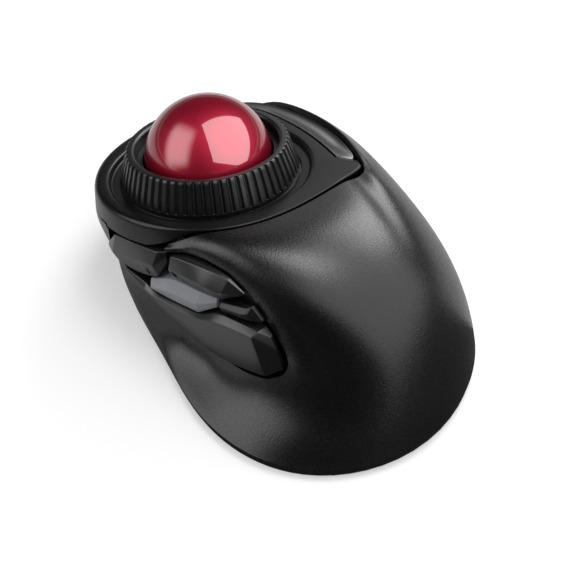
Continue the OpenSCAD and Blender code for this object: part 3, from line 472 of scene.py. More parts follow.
@dataclass(frozen=True)
class Skin:
    """The free-form outer face: columns that run from the deck's seam over five body lines to the base.

    A place round the deck is a station: entry k of each seam and edge list belongs to the angle that is
    entry k of stations. The body lines have one entry every line_step degrees.
    """

    deck: Deck = Deck()
    seam: float = 0.9
    seam_open: float = 0.2
    rim_z: float = 3.6
    edge_gap: float = 0.1
    rear_start: tuple = (11, 13)
    rear_end: tuple = (17.6, 18.8)
    stations: tuple = (
        0, 20, 38, 50, 64, 90, 120, 150, 178, 200, 214, 226, 238, 252, 270, 292, 310, 321, 327, 333, 344)
    seam_reach: tuple = (
        8.8, 9.8, 13.2, 15.4, 13.2, 6.5, 2.5, 1.2, 1, 1, 1, 1.2, 1.2, 1.7, 1.7, 2.2, 4.7, 8.7, 12.2, 11.2,
        9.2)
    seam_dip: tuple = (
        2.5, 2.5, 2.5, 4, 7, 7.5, 7.5, 7.5, 7.5, 7.5, 7.5, 4.5, 0.5, 0, 0, 0, 0, 0.5, 1, 2, 2.5)
    edge_reach: tuple = (
        0, 0.4, 3.7, 7, 6.5, 3, 0.8, 0, 0, -0.2, -0.4, 0, 0.4, 0.9, 1, 1.5, 4.2, 8, 7, 4.7, 1.8)
    line_mid: tuple = ((4, -8), (7, -20), (10, -29), (12, -33), (14, -36))
    line_reach: tuple = (
        (8.2, 13.7, 21.2, 14.2, 11.7, 8.2, 3.7, 1.7, 3.7, 10.2, 12.7, 9.7),
        (9.2, 11.7, 22.7, 25.7, 21.7, 13.7, 2.2, -1.3, 5.7, 21.7, 22.7, 15.2),
        (9.7, 9.7, 24.2, 33.7, 30.7, 14.2, 0.7, -2.3, 6.7, 27.2, 25.7, 18.2),
        (10.7, 10.2, 24.2, 35.7, 33.7, 13.7, 3.2, 6.7, 23.7, 31.7, 27.2, 19.7),
        (10.2, 10.7, 24.7, 36.7, 35.2, 13.7, 7.7, 15.7, 29.7, 30.7, 24.7, 18.2))
    line_drop: tuple = (
        (7, 13, 21, 23, 21, 17.5, 11.5, 2, -6, -8, -6, 0.5),
        (13, 17, 26, 30, 28, 23, 12, 4, 4, 1, 3.5, 10),
        (22, 23.5, 31, 35, 34, 31, 31, 32.5, 31, 18, 18.5, 20.5))
    skirt_height: tuple = (12, 12, 11, 9, 9, 9, 7.5, 6.5, 9, 12, 12, 12)
    line_step: float = 30.0
    cad_station: float = 0.25
    cad_rows: int = 21

    def angle(self, s: Array) -> Array:
        """Angle round the ball's axis at a station, in degrees."""
        return loop_value(self.stations, s, 360.0)

    def seam_r(self, s: Array) -> Array:
        """Radius of the seam's middle at a station."""
        return self.deck.deck_r + loop_value(self.seam_reach, s)

    def seam_h(self, s: Array) -> Array:
        """Height of the seam on the ball's axis at a station."""
        return self.deck.deck_h - loop_value(self.seam_dip, s)

    def edge_r(self, s: Array) -> Array:
        """Radius of the flat deck's edge at a station."""
        most = loop_value(self.seam_reach, s) - self.seam / 2 - self.edge_gap
        return self.deck.deck_r + np.minimum(loop_value(self.edge_reach, s), most)

    def rear(self, s: Array) -> Array:
        """1 along the rear seam between deck and palm, falling to 0 at both ends of it."""
        return window(self.rear_start, self.rear_end, s % len(self.stations))

    def lines(self, s: Array) -> Array:
        """The six control points of each column: the seam, three drops, the skirt and the base line.

        Args:
            s: Stations, shape (n,).

        Returns:
            Plan places, shape (n, 6, 3).
        """
        a = self.angle(s)
        seam_r = self.seam_r(s) + self.seam / 2 + self.seam_open * self.rear(s)
        rings = [self.deck.turned(a, seam_r, self.seam_h(s))]
        heights = [self.deck.ball_height - loop_value(drop, a / self.line_step) for drop in self.line_drop]
        heights += [loop_value(self.skirt_height, a / self.line_step), np.full_like(a, self.rim_z)]
        for mid, reach, z in zip(self.line_mid, self.line_reach, heights):
            r = self.deck.deck_r + loop_value(reach, a / self.line_step)
            x, y = mid[0] + r * np.cos(np.radians(a)), mid[1] + r * np.sin(np.radians(a))
            rings.append(np.stack([x, y, z], -1))
        return np.stack(rings, 1)

    def surface(self, s: Array, t: Array) -> Array:
        """Points of the skin: an open B-spline down each column that starts and ends on its end points.

        Args:
            s: Stations, shape (n,).
            t: Shares of the way from the seam to the base, shape (m,).

        Returns:
            Plan places, shape (n, m, 3).
        """
        c = self.lines(s)
        c = np.concatenate([2 * c[:, :1] - c[:, 1:2], c, 2 * c[:, -1:] - c[:, -2:-1]], 1)
        spans = c.shape[1] - 3
        first = np.minimum(spans - 1, np.floor(t * spans).astype(int))
        w = spline_weights(t * spans - first)
        return sum(w[None, :, k, None] * c[:, first + k] for k in range(4))

    def origin(self) -> Array:
        """Shift of plan places to the middle of the outline, over the construction model's columns and rows.

        Returns:
            The shift along x, y and z.
        """
        s = np.arange(0, len(self.stations), self.cad_station)
        p = self.surface(s, np.linspace(0, 1, self.cad_rows))[..., :2].reshape(-1, 2)
        mid = (p.min(0) + p.max(0)) / 2
        return np.array([-mid[0], -mid[1], 0.0])


SKIN = Skin()
WALL = ThumbWall()
ORIGIN = SKIN.origin()


def new_piece(name: str, points: Array, faces: Sequence[Array], finish: Finish, body: Body,
              replaces: Sequence[str] = (), sharp: float = SHARP_ANGLE) -> bpy.types.Object:
    """Writes a mesh piece in the model's frame, dresses it and lets it ride on a body.

    Args:
        name: The piece's name.
        points: Plan places in millimetres, shape (..., 3).
        faces: Arrays of point numbers, one array for each number of corners.
        finish: What the surface is made of.
        body: The body that it moves with.
        replaces: Construction nodes that it stands for.
        sharp: Angle in degrees from which an edge is drawn sharp.

    Returns:
        The new object.
    """
    mesh = bpy.data.meshes.new(name)
    placed = (points.reshape(-1, 3) + ORIGIN) * MM
    sizes = np.concatenate([np.full(len(f), f.shape[1]) for f in faces])
    mesh.vertices.add(len(placed))
    mesh.vertices.foreach_set("co", placed.astype(np.float32).ravel())
    mesh.loops.add(int(sizes.sum()))
    mesh.loops.foreach_set("vertex_index", np.concatenate([f.ravel() for f in faces]).astype(np.int32))
    mesh.polygons.add(len(sizes))
    mesh.polygons.foreach_set("loop_start", np.concatenate([[0], np.cumsum(sizes)[:-1]]).astype(np.int32))
    mesh.update(calc_edges=True)
    mesh.validate()
    piece = bpy.data.objects.new(name, mesh)
    bpy.context.scene.collection.objects.link(piece)
    mesh.materials.append(finish.material())
    shade(mesh, sharp)
    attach(piece, body.value)
    if replaces:
        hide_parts(*replaces)
    LOG.info("%s: %d faces on %s", name, len(mesh.polygons), body.value)
    return piece


def shade(mesh: bpy.types.Mesh, sharp: float) -> None:
    """Shades a mesh smooth, with sharp edges from an angle in degrees."""
    mesh.polygons.foreach_set("use_smooth", np.ones(len(mesh.polygons), bool))
    mesh.set_sharp_from_angle(angle=math.radians(sharp))


def bar_faces(sections: int, across: int) -> list[Array]:
    """Faces of closed sections along a bar, with a cap on each end.

    Args:
        sections: Number of sections.
        across: Points in a section.

    Returns:
        The quads and the two caps.
    """
    caps = np.stack([np.arange(across)[::-1], (sections - 1) * across + np.arange(across)])
    return [grid_faces(sections, across, False, True)[:, ::-1], caps]


# Pieces

BALL_PIECE = "finger_ball"
STRIP_PIECE = "right_button_strip"


@dataclass
class PalmShell:
    """The palm shell: hump, flanks, skirt and thumb wall in one moulding, open at the thumb keys.

    The spans that start and end the waist and the tuck are degrees round the ball, those of the lift are
    stations after lift_from, and rows are shares of the way down. A groove holds its path, its depth, its
    width and the power that it fades with.
    """

    per_station: int = 18
    rows: int = 96
    inner_every: int = 6
    wall: float = 2.2
    rim_in: float = 0.6
    rim_back: float = 0.7
    rim_depth: float = 1.8
    edge_round: float = 0.35
    opening: tuple = (
        (-4.5, 1.5), (-3.5, 7), (-2, 26), (23.4, 26), (23.4, 18.6), (36.8, 21.5), (45.6, 21.3),
        (53.8, 18.2), (59.6, 13.4), (64.5, 8.7), (69, 3.9), (71.2, 0.6), (70.8, -2.4), (66.3, -5.4),
        (61, -6.8), (54.5, -8.1), (43.5, -9.8), (32.2, -9.4), (21.2, -7.2), (4.4, -5), (0, -2.6))
    opening_round: float = 1.5
    opening_back: float = -9.4
    opening_front: float = 30.0
    waist_depth: float = 1.8
    waist_start: tuple = (112, 140)
    waist_end: tuple = (205, 235)
    waist_rows: tuple = (0.2, 0.62, 1.0)
    tuck: float = 1.1
    tuck_start: tuple = (80, 105)
    tuck_end: tuple = (195, 212)
    tuck_rows: float = 0.35
    lift: float = 1.5
    lift_from: float = 12.0
    lift_start: tuple = (6.6, 8.0)
    lift_end: tuple = (11.0, 12.2)
    lift_rows: float = 0.16
    grooves: tuple = (
        (((38, -19, 46.5), (37.5, -39, 47.5), (37.5, -48, 46.5), (37.5, -57, 44.5), (37.5, -66, 41)),
         1.3, 4.0, 1.0),
        (((-30, -36, 13), (-24, -50, 13), (-17, -66, 15.5), (-12, -73, 19)), 0.6, 6.0, 2.0))
    groove_start: tuple = (-0.04, 0.08)
    fold_path: tuple = (
        (21, 22), (30, 21), (36.8, 21.5), (45.6, 21.3), (53.8, 18.2), (59.6, 13.4), (64.5, 8.7), (69, 3.9))
    fold_start: tuple = (0.0, 0.2)
    fold_out: float = 0.5
    fold_reach: float = 11.0
    fold_depth: float = 2.8

    def build(self) -> bpy.types.Object:
        """Makes the shell as a grid of columns and then cuts the opening for the thumb keys.

        Each column is a closed line: from the rim at the seam down the inner face, which is the outer face
        moved in by the wall along its normals, then up the outer face and over the rounded edge to the rim.

        Returns:
            The shell.
        """
        count = len(SKIN.stations) * self.per_station
        s = np.arange(count) / self.per_station
        t = np.linspace(0, 1, self.rows)
        outer = self.carve(SKIN.surface(s, t), s)
        normal = self.normals(outer)
        inner = (outer - self.wall * normal)[:, self.inner_every::self.inner_every]
        inner[:, -1, 2] = SKIN.rim_z
        rear = SKIN.rear(s)
        rim_in = self.rim_in * (1 - self.rim_back * rear)
        rim_r = SKIN.seam_r(s) + SKIN.seam / 2 - rim_in - self.tuck * self.tucked(s)
        rim_h = SKIN.seam_h(s) - self.rim_depth * (1 + rear) + self.lift * self.lifted(s)
        rim = SKIN.deck.turned(SKIN.angle(s), rim_r, rim_h)[:, None]
        lip = soften(np.concatenate([rim, outer[:, :2]], 1), self.edge_round, 4, False)[:, 1:-1]
        columns = np.concatenate([rim, inner, outer[:, :0:-1], lip[:, ::-1]], 1)
        faces = grid_faces(count, columns.shape[1], True, True)
        piece = new_piece("palm_shell_skin", columns, [faces[:, ::-1]], SHELL, Body.HOUSING,
                          ["palm_shell"])
        self.cut(piece)
        return piece

    def carve(self, outer: Array, s: Array) -> Array:
        """Presses the soft forms of the moulding into the outer face, along its normals.

        The waist of the left flank and the tuck under the band are windows of the angle times windows of
        the row. A groove is a bell curve of the distance to its path, run out at both ends. The fold over
        the thumb keys falls with the square of the distance that is left to its reach. Last, the right rim
        is lifted along the ball's axis.

        Args:
            outer: Outer face, shape (columns, rows, 3).
            s: Stations of the columns.

        Returns:
            The outer face with its details.
        """
        normal = self.normals(outer)
        t = np.linspace(0, 1, self.rows)[None, :]
        waist = window(self.waist_start, self.waist_end, SKIN.angle(s))[:, None]
        push = -self.waist_depth * waist * window(self.waist_rows[:2], self.waist_rows[1:], t)
        push = push - self.tuck * self.tucked(s)[:, None] * (1 - smooth_step(0.0, self.tuck_rows, t))
        for path, depth, width, fade in self.grooves:
            gap, share = distance_to_path(outer, np.array(path, float))
            ends = (1 - share**fade) * smooth_step(*self.groove_start, share)
            push = push - depth * np.exp(-(gap / width) ** 2) * ends
        fold = WALL.place(np.array([(x, y, self.fold_out) for x, y in self.fold_path], float))
        gap, share = distance_to_path(outer, fold)
        near = np.clip(1 - gap / self.fold_reach, 0, 1) ** 2
        push = push - self.fold_depth * near * smooth_step(*self.fold_start, share)
        rise = self.lift * self.lifted(s)[:, None] * (1 - smooth_step(0.0, self.lift_rows, t))
        return outer + push[..., None] * normal + rise[..., None] * SKIN.deck.axes()[2]

    def tucked(self, s: Array) -> Array:
        """1 at the front left, where the shell's rim goes in under the band, falling to 0 on both sides."""
        return window(self.tuck_start, self.tuck_end, SKIN.angle(s))

    def lifted(self, s: Array) -> Array:
        """1 along the right rim, which stands level with the strip, falling to 0 at the strip's ends."""
        return window(self.lift_start, self.lift_end, (s - self.lift_from) % len(SKIN.stations))

    def normals(self, grid: Array) -> Array:
        """Unit normals of the outer face, across its differences along the columns and the rows.

        Args:
            grid: The outer face, shape (columns, rows, 3).

        Returns:
            Outward normals of the same shape.
        """
        along = np.roll(grid, -1, 0) - np.roll(grid, 1, 0)
        down = np.gradient(grid, axis=1)
        n = np.cross(down, along)
        return n / np.linalg.norm(n, axis=-1, keepdims=True)

    def cut(self, piece: bpy.types.Object) -> None:
        """Cuts the thumb opening with a prism on the wall's axes, which is then removed.

        Args:
            piece: The shell.
        """
        outline = soften(np.array(self.opening, float), self.opening_round, 5, True)
        n = len(outline)
        ends = [np.column_stack([outline, np.full(n, z)]) for z in (self.opening_back, self.opening_front)]
        points = (WALL.place(np.concatenate(ends)) + ORIGIN) * MM
        mesh = bpy.data.meshes.new("opening_cutter")
        sides = grid_faces(2, n, False, True)[:, ::-1]
        mesh.from_pydata(points.tolist(), [], sides.tolist() + [list(range(n)), list(range(n, 2 * n))[::-1]])
        mesh.validate()
        cutter = bpy.data.objects.new("opening_cutter", mesh)
        bpy.context.scene.collection.objects.link(cutter)
        modifier = piece.modifiers.new("opening", "BOOLEAN")
        modifier.operation, modifier.object, modifier.solver = "DIFFERENCE", cutter, "MANIFOLD"
        bpy.context.view_layer.update()
        cut = bpy.data.meshes.new_from_object(piece.evaluated_get(bpy.context.evaluated_depsgraph_get()))
        piece.modifiers.clear()
        piece.data = cut
        bpy.data.objects.remove(cutter)
        shade(cut, SHARP_ANGLE)
        LOG.info("palm_shell_skin: %d faces after the opening", len(cut.polygons))


@dataclass
class Bezel:
    """The deck with its moat, and the satin band that rolls down from the deck's edge to the seam.

    The spans that start and end the keys, the flat corner and the rolled edge are stations of the skin.
    """

    per_station: int = 22
    strip_from: float = 19.3
    strip_to: float = 24.5
    strip_slot: float = 0.8
    keys_start: tuple = (8.0, 8.3)
    keys_end: tuple = (13.7, 14.0)
    lean_from: float = 1.5
    corner_start: tuple = (16.2, 17.2)
    corner_end: tuple = (18.4, 19.2)
    roll_start: tuple = (3.5, 5)
    roll_end: tuple = (11, 13.5)
    bezel_wall: float = 1.6
    clear: float = 0.1
    tip_drop: float = 0.5
    lip_drop: float = 1.0
    tip_step: float = 0.2
    band_out: float = 0.42
    band_up: float = 0.5
    tongue_in: float = 2.2
    tongue_t: float = 1.2
    tongue_skirt: float = 3.0
    tongue_lean: float = 2.4
    band_least: float = 1.2
    shelf_h: float = -10.3
    moat_slope: float = 0.8
    undercut: float = 0.9
    corner_lip: float = 0.5
    crisp: float = 0.35
    roll: float = 2.6
    rounding_outside: tuple = (0.1, 0.1, 0.25, 2.5)
    rounding_inside: tuple = (0.7, 0.4, 0.2, 0.1, 0.1, 0.1, 0.05, 0.1)

    def build(self) -> bpy.types.Object:
        """Makes the bezel as one closed profile carried round the deck, with a step at each end of the strip.

        Returns:
            The bezel.
        """
        turn = len(SKIN.stations)
        length = self.strip_to - self.strip_from
        band = np.linspace(self.strip_to, self.strip_from + turn, int((turn - length) * self.per_station))
        strip = np.linspace(self.strip_from + turn, self.strip_to + turn, int(length * self.per_station))
        profiles, angles = [], []
        for stations, open_edge in ((band, False), (strip, True)):
            profiles.append(self.profile(stations, open_edge))
            angles.append(SKIN.angle(stations))
        profile, angle = np.concatenate(profiles), np.concatenate(angles)
        points = SKIN.deck.turned(angle[:, None], profile[..., 0], profile[..., 1])
        faces = grid_faces(points.shape[0], points.shape[1], True, True)
        return new_piece("deck_bezel_skin", points, [faces[:, ::-1]], DECK, Body.HOUSING,
                         ["deck_bezel"])

    def profile(self, s: Array, strip: bool) -> Array:
        """Half sections in radius and height, with each corner rounded by its own reach.

        Args:
            s: Stations.
            strip: Whether these are the stations where the deck stops at the right button's slot.

        Returns:
            Sections of shape (n, points, 2).
        """
        d = SKIN.deck
        k = s % len(SKIN.stations)
        seam_r, low = SKIN.seam_r(s), np.maximum(d.band_low_h, SKIN.seam_h(s) + self.clear)
        low = np.minimum(low, d.deck_h - self.band_least)
        tongue = seam_r - self.tongue_in
        keys = window(self.keys_start, self.keys_end, k)
        tip = d.band_low_h - self.tip_drop - self.tongue_skirt * (1 - keys)
        tip = np.where(keys > 0.5, np.minimum(low - self.tip_drop, d.lip_h - self.lip_drop), tip)
        upright = (keys > 0.5) | (k > self.strip_from) | (k < self.lean_from)
        lean = np.where(upright, 0.0, self.tongue_lean)
        edge = SKIN.edge_r(s)
        if strip:
            foot, under, soft = self.shelf_h, 0.0, 0.0
            out = edge = edge - self.strip_slot
            inside = out - self.bezel_wall
        else:
            foot, under = low, self.undercut * SKIN.rear(s)
            soft = window(self.roll_start, self.roll_end, k)
            out = seam_r - SKIN.seam / 2
            edge = edge + (out - self.corner_lip - edge) * window(self.corner_start, self.corner_end, k)
            inside = tongue - self.tongue_t
        in_low = np.maximum(d.band_low_h, tip + self.tip_step)
        band_r, band_h = out + (edge - out) * self.band_out, foot + (d.deck_h - foot) * self.band_up
        points = np.stack([np.stack(np.broadcast_arrays(r, h, s)[:2], -1) for r, h in (
            (tongue - lean, tip), (tongue, foot - self.clear - under), (out - under, foot - under),
            (band_r, band_h), (edge, d.deck_h), (d.moat_r + self.moat_slope, d.deck_h),
            (d.moat_r, d.moat_h), (d.lip_r, d.moat_h), (d.lip_r, d.lip_h), (inside, d.lip_h),
            (inside, in_low), (tongue - self.tongue_t, in_low - self.clear),
            (tongue - lean - self.tongue_t, tip))], 1)
        reach = np.tile([*self.rounding_outside, self.crisp, *self.rounding_inside], (len(s), 1))
        reach[:, len(self.rounding_outside)] += (self.roll - self.crisp) * soft
        return soften(points, reach, 7, True)


@dataclass
class RightButton:
    """The coved strip along the right edge of the deck."""

    start: float = 19.37
    end: float = 24.43
    columns: int = 150
    dip: float = 2.5
    end_dip: float = 2.2
    cove: float = 1.2
    end_cove: float = 0.3
    end_run: float = 1.5
    thick: float = 1.6
    skirt: float = 0.7
    corner: float = 4.0
    corner_pace: float = 0.2
    across: int = 11
    under_rounding: tuple = (0.2, 0.3, 0.2)
    cove_rounding: float = 0.3
    edge_rounding: tuple = (0.45, 0.35)

    def build(self) -> bpy.types.Object:
        """Carries the coved section from the rear corner to the front end.

        The top falls evenly from the deck's edge to the seam, and sags below that by the cove times a
        parabola. The outer edge rounds the rear corner on a quarter circle.

        Returns:
            The strip.
        """
        s = np.linspace(self.start, self.end, self.columns)
        d = SKIN.deck
        x = np.clip((s - self.start) * d.deck_r * self.corner_pace / self.corner, 0, 1)
        r_in = SKIN.edge_r(s)
        r_out = SKIN.seam_r(s) - SKIN.seam / 2 - self.corner * (1 - np.sqrt(1 - (1 - x) ** 2))
        u = np.linspace(1, 0, self.across)
        top_r = r_in[:, None] + (r_out - r_in)[:, None] * u
        run = smooth_step(0, self.end_run, s - self.start)[:, None]
        dip = self.end_dip + (self.dip - self.end_dip) * run
        cove = self.end_cove + (self.cove - self.end_cove) * run
        top_h = d.deck_h - dip * u - cove * 4 * u * (1 - u)
        middle_h = d.deck_h - self.dip / 2 - self.cove - self.thick
        under = np.stack([
            np.stack([r_in, np.full_like(s, d.deck_h - self.thick - self.skirt)], -1),
            np.stack([(r_in + r_out) / 2, np.full_like(s, middle_h)], -1),
            np.stack([r_out, d.deck_h - dip[:, 0] - self.skirt], -1)], 1)
        section = np.concatenate([under, np.stack([top_r, top_h], -1)], 1)
        outer, inner = self.edge_rounding
        top_rounding = [outer] + [self.cove_rounding] * (self.across - 2) + [inner]
        section = soften(section, [*self.under_rounding, *top_rounding], 5, True)
        points = d.turned(SKIN.angle(s)[:, None], section[..., 0], section[..., 1])
        return new_piece(STRIP_PIECE, points, bar_faces(*points.shape[:2]), KEYS, Body.RIGHT,
                         ["right_button"])


@dataclass
class ScrollRing:
    """The tapered ring with its grip ribs."""

    ribs: int = 60
    per_rib: int = 14
    rib_depth: float = 0.95
    rib_gain: float = 1.8
    rib_flat: float = 0.7
    rib_power: float = 0.8
    rib_rim: tuple = (0.8, 0.1)
    rib_foot: float = 0.1
    neck: float = 0.8
    swell_h: float = -1.2
    swell_in: float = 1.0
    bevel: float = 0.5
    top: tuple = (0.2, 0.25)
    bore_bevel: float = 0.7
    rounding: tuple = (0.1, 0.1, 0.1, 0.1, 0.1, 0.25, 1.0, 0.3, 0.35, 0.4, 0.3)

    def build(self) -> bpy.types.Object:
        """Turns the ring's section and sinks a rounded groove between each pair of ribs.

        The groove's depth is the rib depth times a raised cosine of the angle, cut off flat at the ribs'
        crests, and it runs out over the rim's bevel and at the foot.

        Returns:
            The ring.
        """
        d = SKIN.deck
        section = np.array([
            [d.bore_r, d.flange_h], [d.flange_r, d.flange_h], [d.flange_r, d.flange_top_h],
            [d.foot_r - self.neck, d.flange_top_h], [d.foot_r - self.neck, d.foot_h], [d.foot_r, d.foot_h],
            [d.foot_r - self.swell_in, self.swell_h], [d.rim_r, d.rise - self.bevel],
            [d.rim_r - self.bevel, d.rise + self.top[0]], [d.bore_r + self.bore_bevel, d.rise + self.top[1]],
            [d.bore_r, d.rise - self.bevel]])
        section = soften(section, self.rounding, 6, True)
        weight = smooth_step(d.foot_h - self.rib_foot, d.foot_h + self.rib_foot, section[:, 1])
        weight = weight * smooth_step(d.rim_r - self.rib_rim[0], d.rim_r - self.rib_rim[1], section[:, 0])
        angle = np.linspace(0, 360, self.ribs * self.per_rib, endpoint=False)
        wave = 0.5 - 0.5 * np.cos(np.radians(angle * self.ribs))
        groove = np.clip(wave * self.rib_gain - self.rib_flat, 0, 1) ** self.rib_power
        radius = section[None, :, 0] - self.rib_depth * groove[:, None] * weight[None, :]
        height = np.broadcast_to(section[None, :, 1], radius.shape)
        points = d.turned(angle[:, None], radius, height)
        faces = grid_faces(*points.shape[:2], True, True)
        return new_piece("scroll_ring_ribbed", points, [faces[:, ::-1]], RING, Body.RING,
                         ["scroll_ring"], sharp=50.0)


@dataclass
class FingerBall:
    """The polished ball, turned on a level axis so that its poles lie inside the ring."""

    around: int = 192
    along: int = 96
    slack: float = 0.06

    def build(self) -> bpy.types.Object:
        """Makes a closed sphere of circles along the x axis, with a point at each pole.

        A circle's radius is the ball's radius times the sine of its angle from the axis.

        Returns:
            The ball.
        """
        r = SKIN.deck.ball_r - self.slack
        polar = np.linspace(0, math.pi, self.along + 1)[1:-1]
        turn = np.linspace(0, 2 * math.pi, self.around, endpoint=False)
        p, a = np.meshgrid(polar, turn, indexing="ij")
        grid = np.stack([np.cos(p), np.sin(p) * np.cos(a), np.sin(p) * np.sin(a)], -1).reshape(-1, 3) * r
        points = np.concatenate([grid, [[r, 0, 0], [-r, 0, 0]]]) + np.array([0, 0, SKIN.deck.ball_height])
        n, last = self.around, len(grid) - self.around
        k = np.arange(n)
        near = np.stack([np.full(n, len(grid)), k, (k + 1) % n], -1)
        far = np.stack([np.full(n, len(grid) + 1), last + (k + 1) % n, last + k], -1)
        quads = grid_faces(self.along - 1, n, False, True)[:, ::-1]
        faces = [quads, np.concatenate([near, far])]
        return new_piece(BALL_PIECE, points, faces, BALL, Body.BALL, ["ball_shell"], sharp=180.0)


@dataclass
class ThumbKey:
    """One thumb key: facets between a lower edge, a ridge and an upper edge, on a block behind the wall.

    Each entry of sections holds the arguments of control, from the front end to the rear end.
    """

    name: str
    node: str
    body: Body
    finish: Finish
    slot: str
    sections: tuple
    stem: tuple | None = None
    back: float = -3.4
    stem_end: float = -8.1
    stem_r: float = 1.6
    stem_in: float = 0.1
    stem_sides: int = 24
    edge: float = 0.25
    ridge_share: float = 1.4
    back_edge: float = 0.05
    ends: float = 0.35
    sweep: float = 4.0

    def build(self) -> bpy.types.Object:
        """Rounds the control sections along the key and then across it, and adds the guide stem.

        Returns:
            The key.
        """
        net = np.array([self.control(*section) for section in self.sections], float)
        reach = np.full(len(net), self.sweep)
        reach[[1, -2]] = self.ends
        along = soften(net.transpose(1, 0, 2), reach, 6, False).transpose(1, 0, 2)
        across = [self.back_edge, self.edge, self.edge * self.ridge_share, self.edge, self.back_edge]
        bar = soften(along, across, 5, True)
        points = bar.reshape(-1, 3)
        faces = bar_faces(*bar.shape[:2])
        if self.stem is not None:
            turn = np.linspace(0, 2 * math.pi, self.stem_sides, endpoint=False)
            circle = np.array(self.stem) + self.stem_r * np.stack([np.cos(turn), np.sin(turn)], -1)
            ends = (self.stem_end, self.back + self.stem_in)
            rings = np.stack([np.column_stack([circle, np.full(self.stem_sides, z)]) for z in ends])
            faces = faces + [f[:, ::-1] + len(points) for f in bar_faces(2, self.stem_sides)]
            points = np.concatenate([points, rings.reshape(-1, 3)])
        return new_piece(self.name, WALL.place(points), faces, self.finish, self.body, [self.node],
                         sharp=40.0)

    def control(self, s: float, low: tuple, ridge: tuple, high: tuple) -> list[tuple[float, float, float]]:
        """Corners of one section from the back under its lower edge to the back over its upper edge.

        Args:
            s: Place of the section along the wall.
            low: Height and stand-out of the lower edge, and how far it lies behind the section if it does.
            ridge: The same for the ridge.
            high: The same for the upper edge.

        Returns:
            Five corners on the wall's axes.
        """
        low, ridge, high = ((s + sum(p[2:]), p[0], p[1]) for p in (low, ridge, high))
        return [(low[0], low[1], self.back), low, ridge, high, (high[0], high[1], self.back)]


THUMB_KEYS = (
    ThumbKey("forward_key", "forward_button", Body.FORWARD, KEYS, "key_satin", (
        (-3, (2.2, -1.0), (3.2, 0), (4.6, -0.4)), (1.5, (-0.6, 0), (4.7, 2.4), (11.4, 1)),
        (10, (1.6, 1.2), (8.6, 3.4), (13.6, 1.3)), (17.6, (4.6, 1.6), (11.4, 3.7), (15.7, 1.3)),
        (20.6, (6.5, 1.5), (12.2, 3.5), (16.5, 1.2)), (23, (12.5, -0.6), (15, -0.4), (17.2, -0.2))), (9, 7)),
    ThumbKey("back_key", "back_button", Body.BACK, KEYS, "key_satin", (
        (25.2, (11.6, 0.4), (13.4, 0.8), (17.2, 0.4)), (26.6, (10.6, 1.2), (14, 2.6), (18.4, 1)),
        (34, (11.4, 0.9), (15.4, 2.5), (19.8, 0.1)), (40, (12, 0.5), (16.5, 2.2), (20.3, -1)),
        (44, (12.4, 0.2), (16, 1.6), (20.3, -1.7)), (47, (13.6, -0.2), (16.6, 0.6), (20, -2.2)),
        (52.8, (17, -3), (17.4, -2.9), (17.8, -3))), (37, 14.5)),
    ThumbKey("speed_key", "dpi_button", Body.SPEED, SPEED_KEY, "key_grey", (
        (17, (2.2, 0.9), (2.6, 1.1), (3.1, 0.9)), (18.8, (-0.3, 1.8), (1.7, 3.2), (4.3, 1.3)),
        (27, (1, 2), (5.9, 3.4), (9.6, 1.2)), (38, (3.2, 1.7), (7.8, 3), (11, 0.7)),
        (44.2, (8.2, -0.3), (10.2, 0), (11.9, -0.3))), (30, 5)),
    ThumbKey("label_field", "label_plate", Body.HOUSING, TRIM, "trim_black", (
        (45.3, (9.8, 0), (10.6, 0.3), (11.4, 0)), (46.5, (9.1, 0.6), (10.9, 1.3), (12, -0.1)),
        (54.6, (10.4, -0.4), (12.6, 0.3), (14, -1.6)), (56.5, (10.7, -0.9), (13, -0.5), (15.4, -2.2)),
        (60.6, (11.6, -2.2), (11.9, -2.2), (12.3, -2.4)))),
    ThumbKey("left_key", "left_button", Body.LEFT, KEYS, "key_satin", (
        (4.3, (-3.8, -0.4), (-2.8, 0), (-1.8, -0.1)), (15, (-5.4, 1.2), (-2, 2.6), (-0.6, 1.2)),
        (19, (-5.9, 1.6), (-1.9, 3), (-1.4, 1.6)), (32, (-8.1, 2.3), (0.4, 3.4), (1.2, 1.6)),
        (38.5, (-8.6, 2.8), (1.9, 3.4), (2.6, 1.4)), (45, (-8.6, 3.1), (5.2, 3.1), (7.2, 0.6)),
        (56, (-6.8, 3), (8.2, 2.6), (9.4, 0.2)), (62, (-4.1, 2.2, 4), (8.9, 2.3, -1.4), (9.9, -0.2, -0.6)),
        (66, (-1.8, -1.8, 3.5), (4.6, -2.2, 0.6), (8, -2.4, -1.9))), (44, -2)),
)


@dataclass
class ArrowMark:
    """A small raised chevron on the lower facet of a thumb key that shows which way it goes."""

    name: str
    body: Body
    at: tuple[float, float, float]
    slope: float
    heading: float
    arm: float = 1.2
    bar: float = 0.3
    bar_slant: float = 1.6
    height: float = 0.12
    root: float = 0.6
    bevel_from: float = 0.6
    taper: float = 0.94
    rounding: float = 0.1

    def build(self) -> bpy.types.Object:
        """Raises a bent bar: six rounded corners of a chevron, on a level that follows the facet's slope.

        Returns:
            The mark.
        """
        a, b = self.arm, self.bar_slant * self.bar
        outline = np.array([(-a, -a), (0, 0), (a, -a), (a, -a - b), (0, -b), (-a, -a - b)], float)
        turn = math.radians(self.heading)
        outline = outline @ np.array([[math.cos(turn), math.sin(turn)], [-math.sin(turn), math.cos(turn)]])
        outline = soften(outline, self.rounding, 3, True)
        steps = ((-self.root, 1.0), (self.height * self.bevel_from, 1.0), (self.height, self.taper))
        levels = []
        for lift, shrink in steps:
            x, y = (outline * shrink).T
            level = self.at[2] + lift + self.slope * y
            levels.append(np.column_stack([self.at[0] + x, self.at[1] + y, level]))
        points = np.stack(levels)
        faces = bar_faces(*points.shape[:2])
        return new_piece(self.name, WALL.place(points), faces, TRIM, self.body)


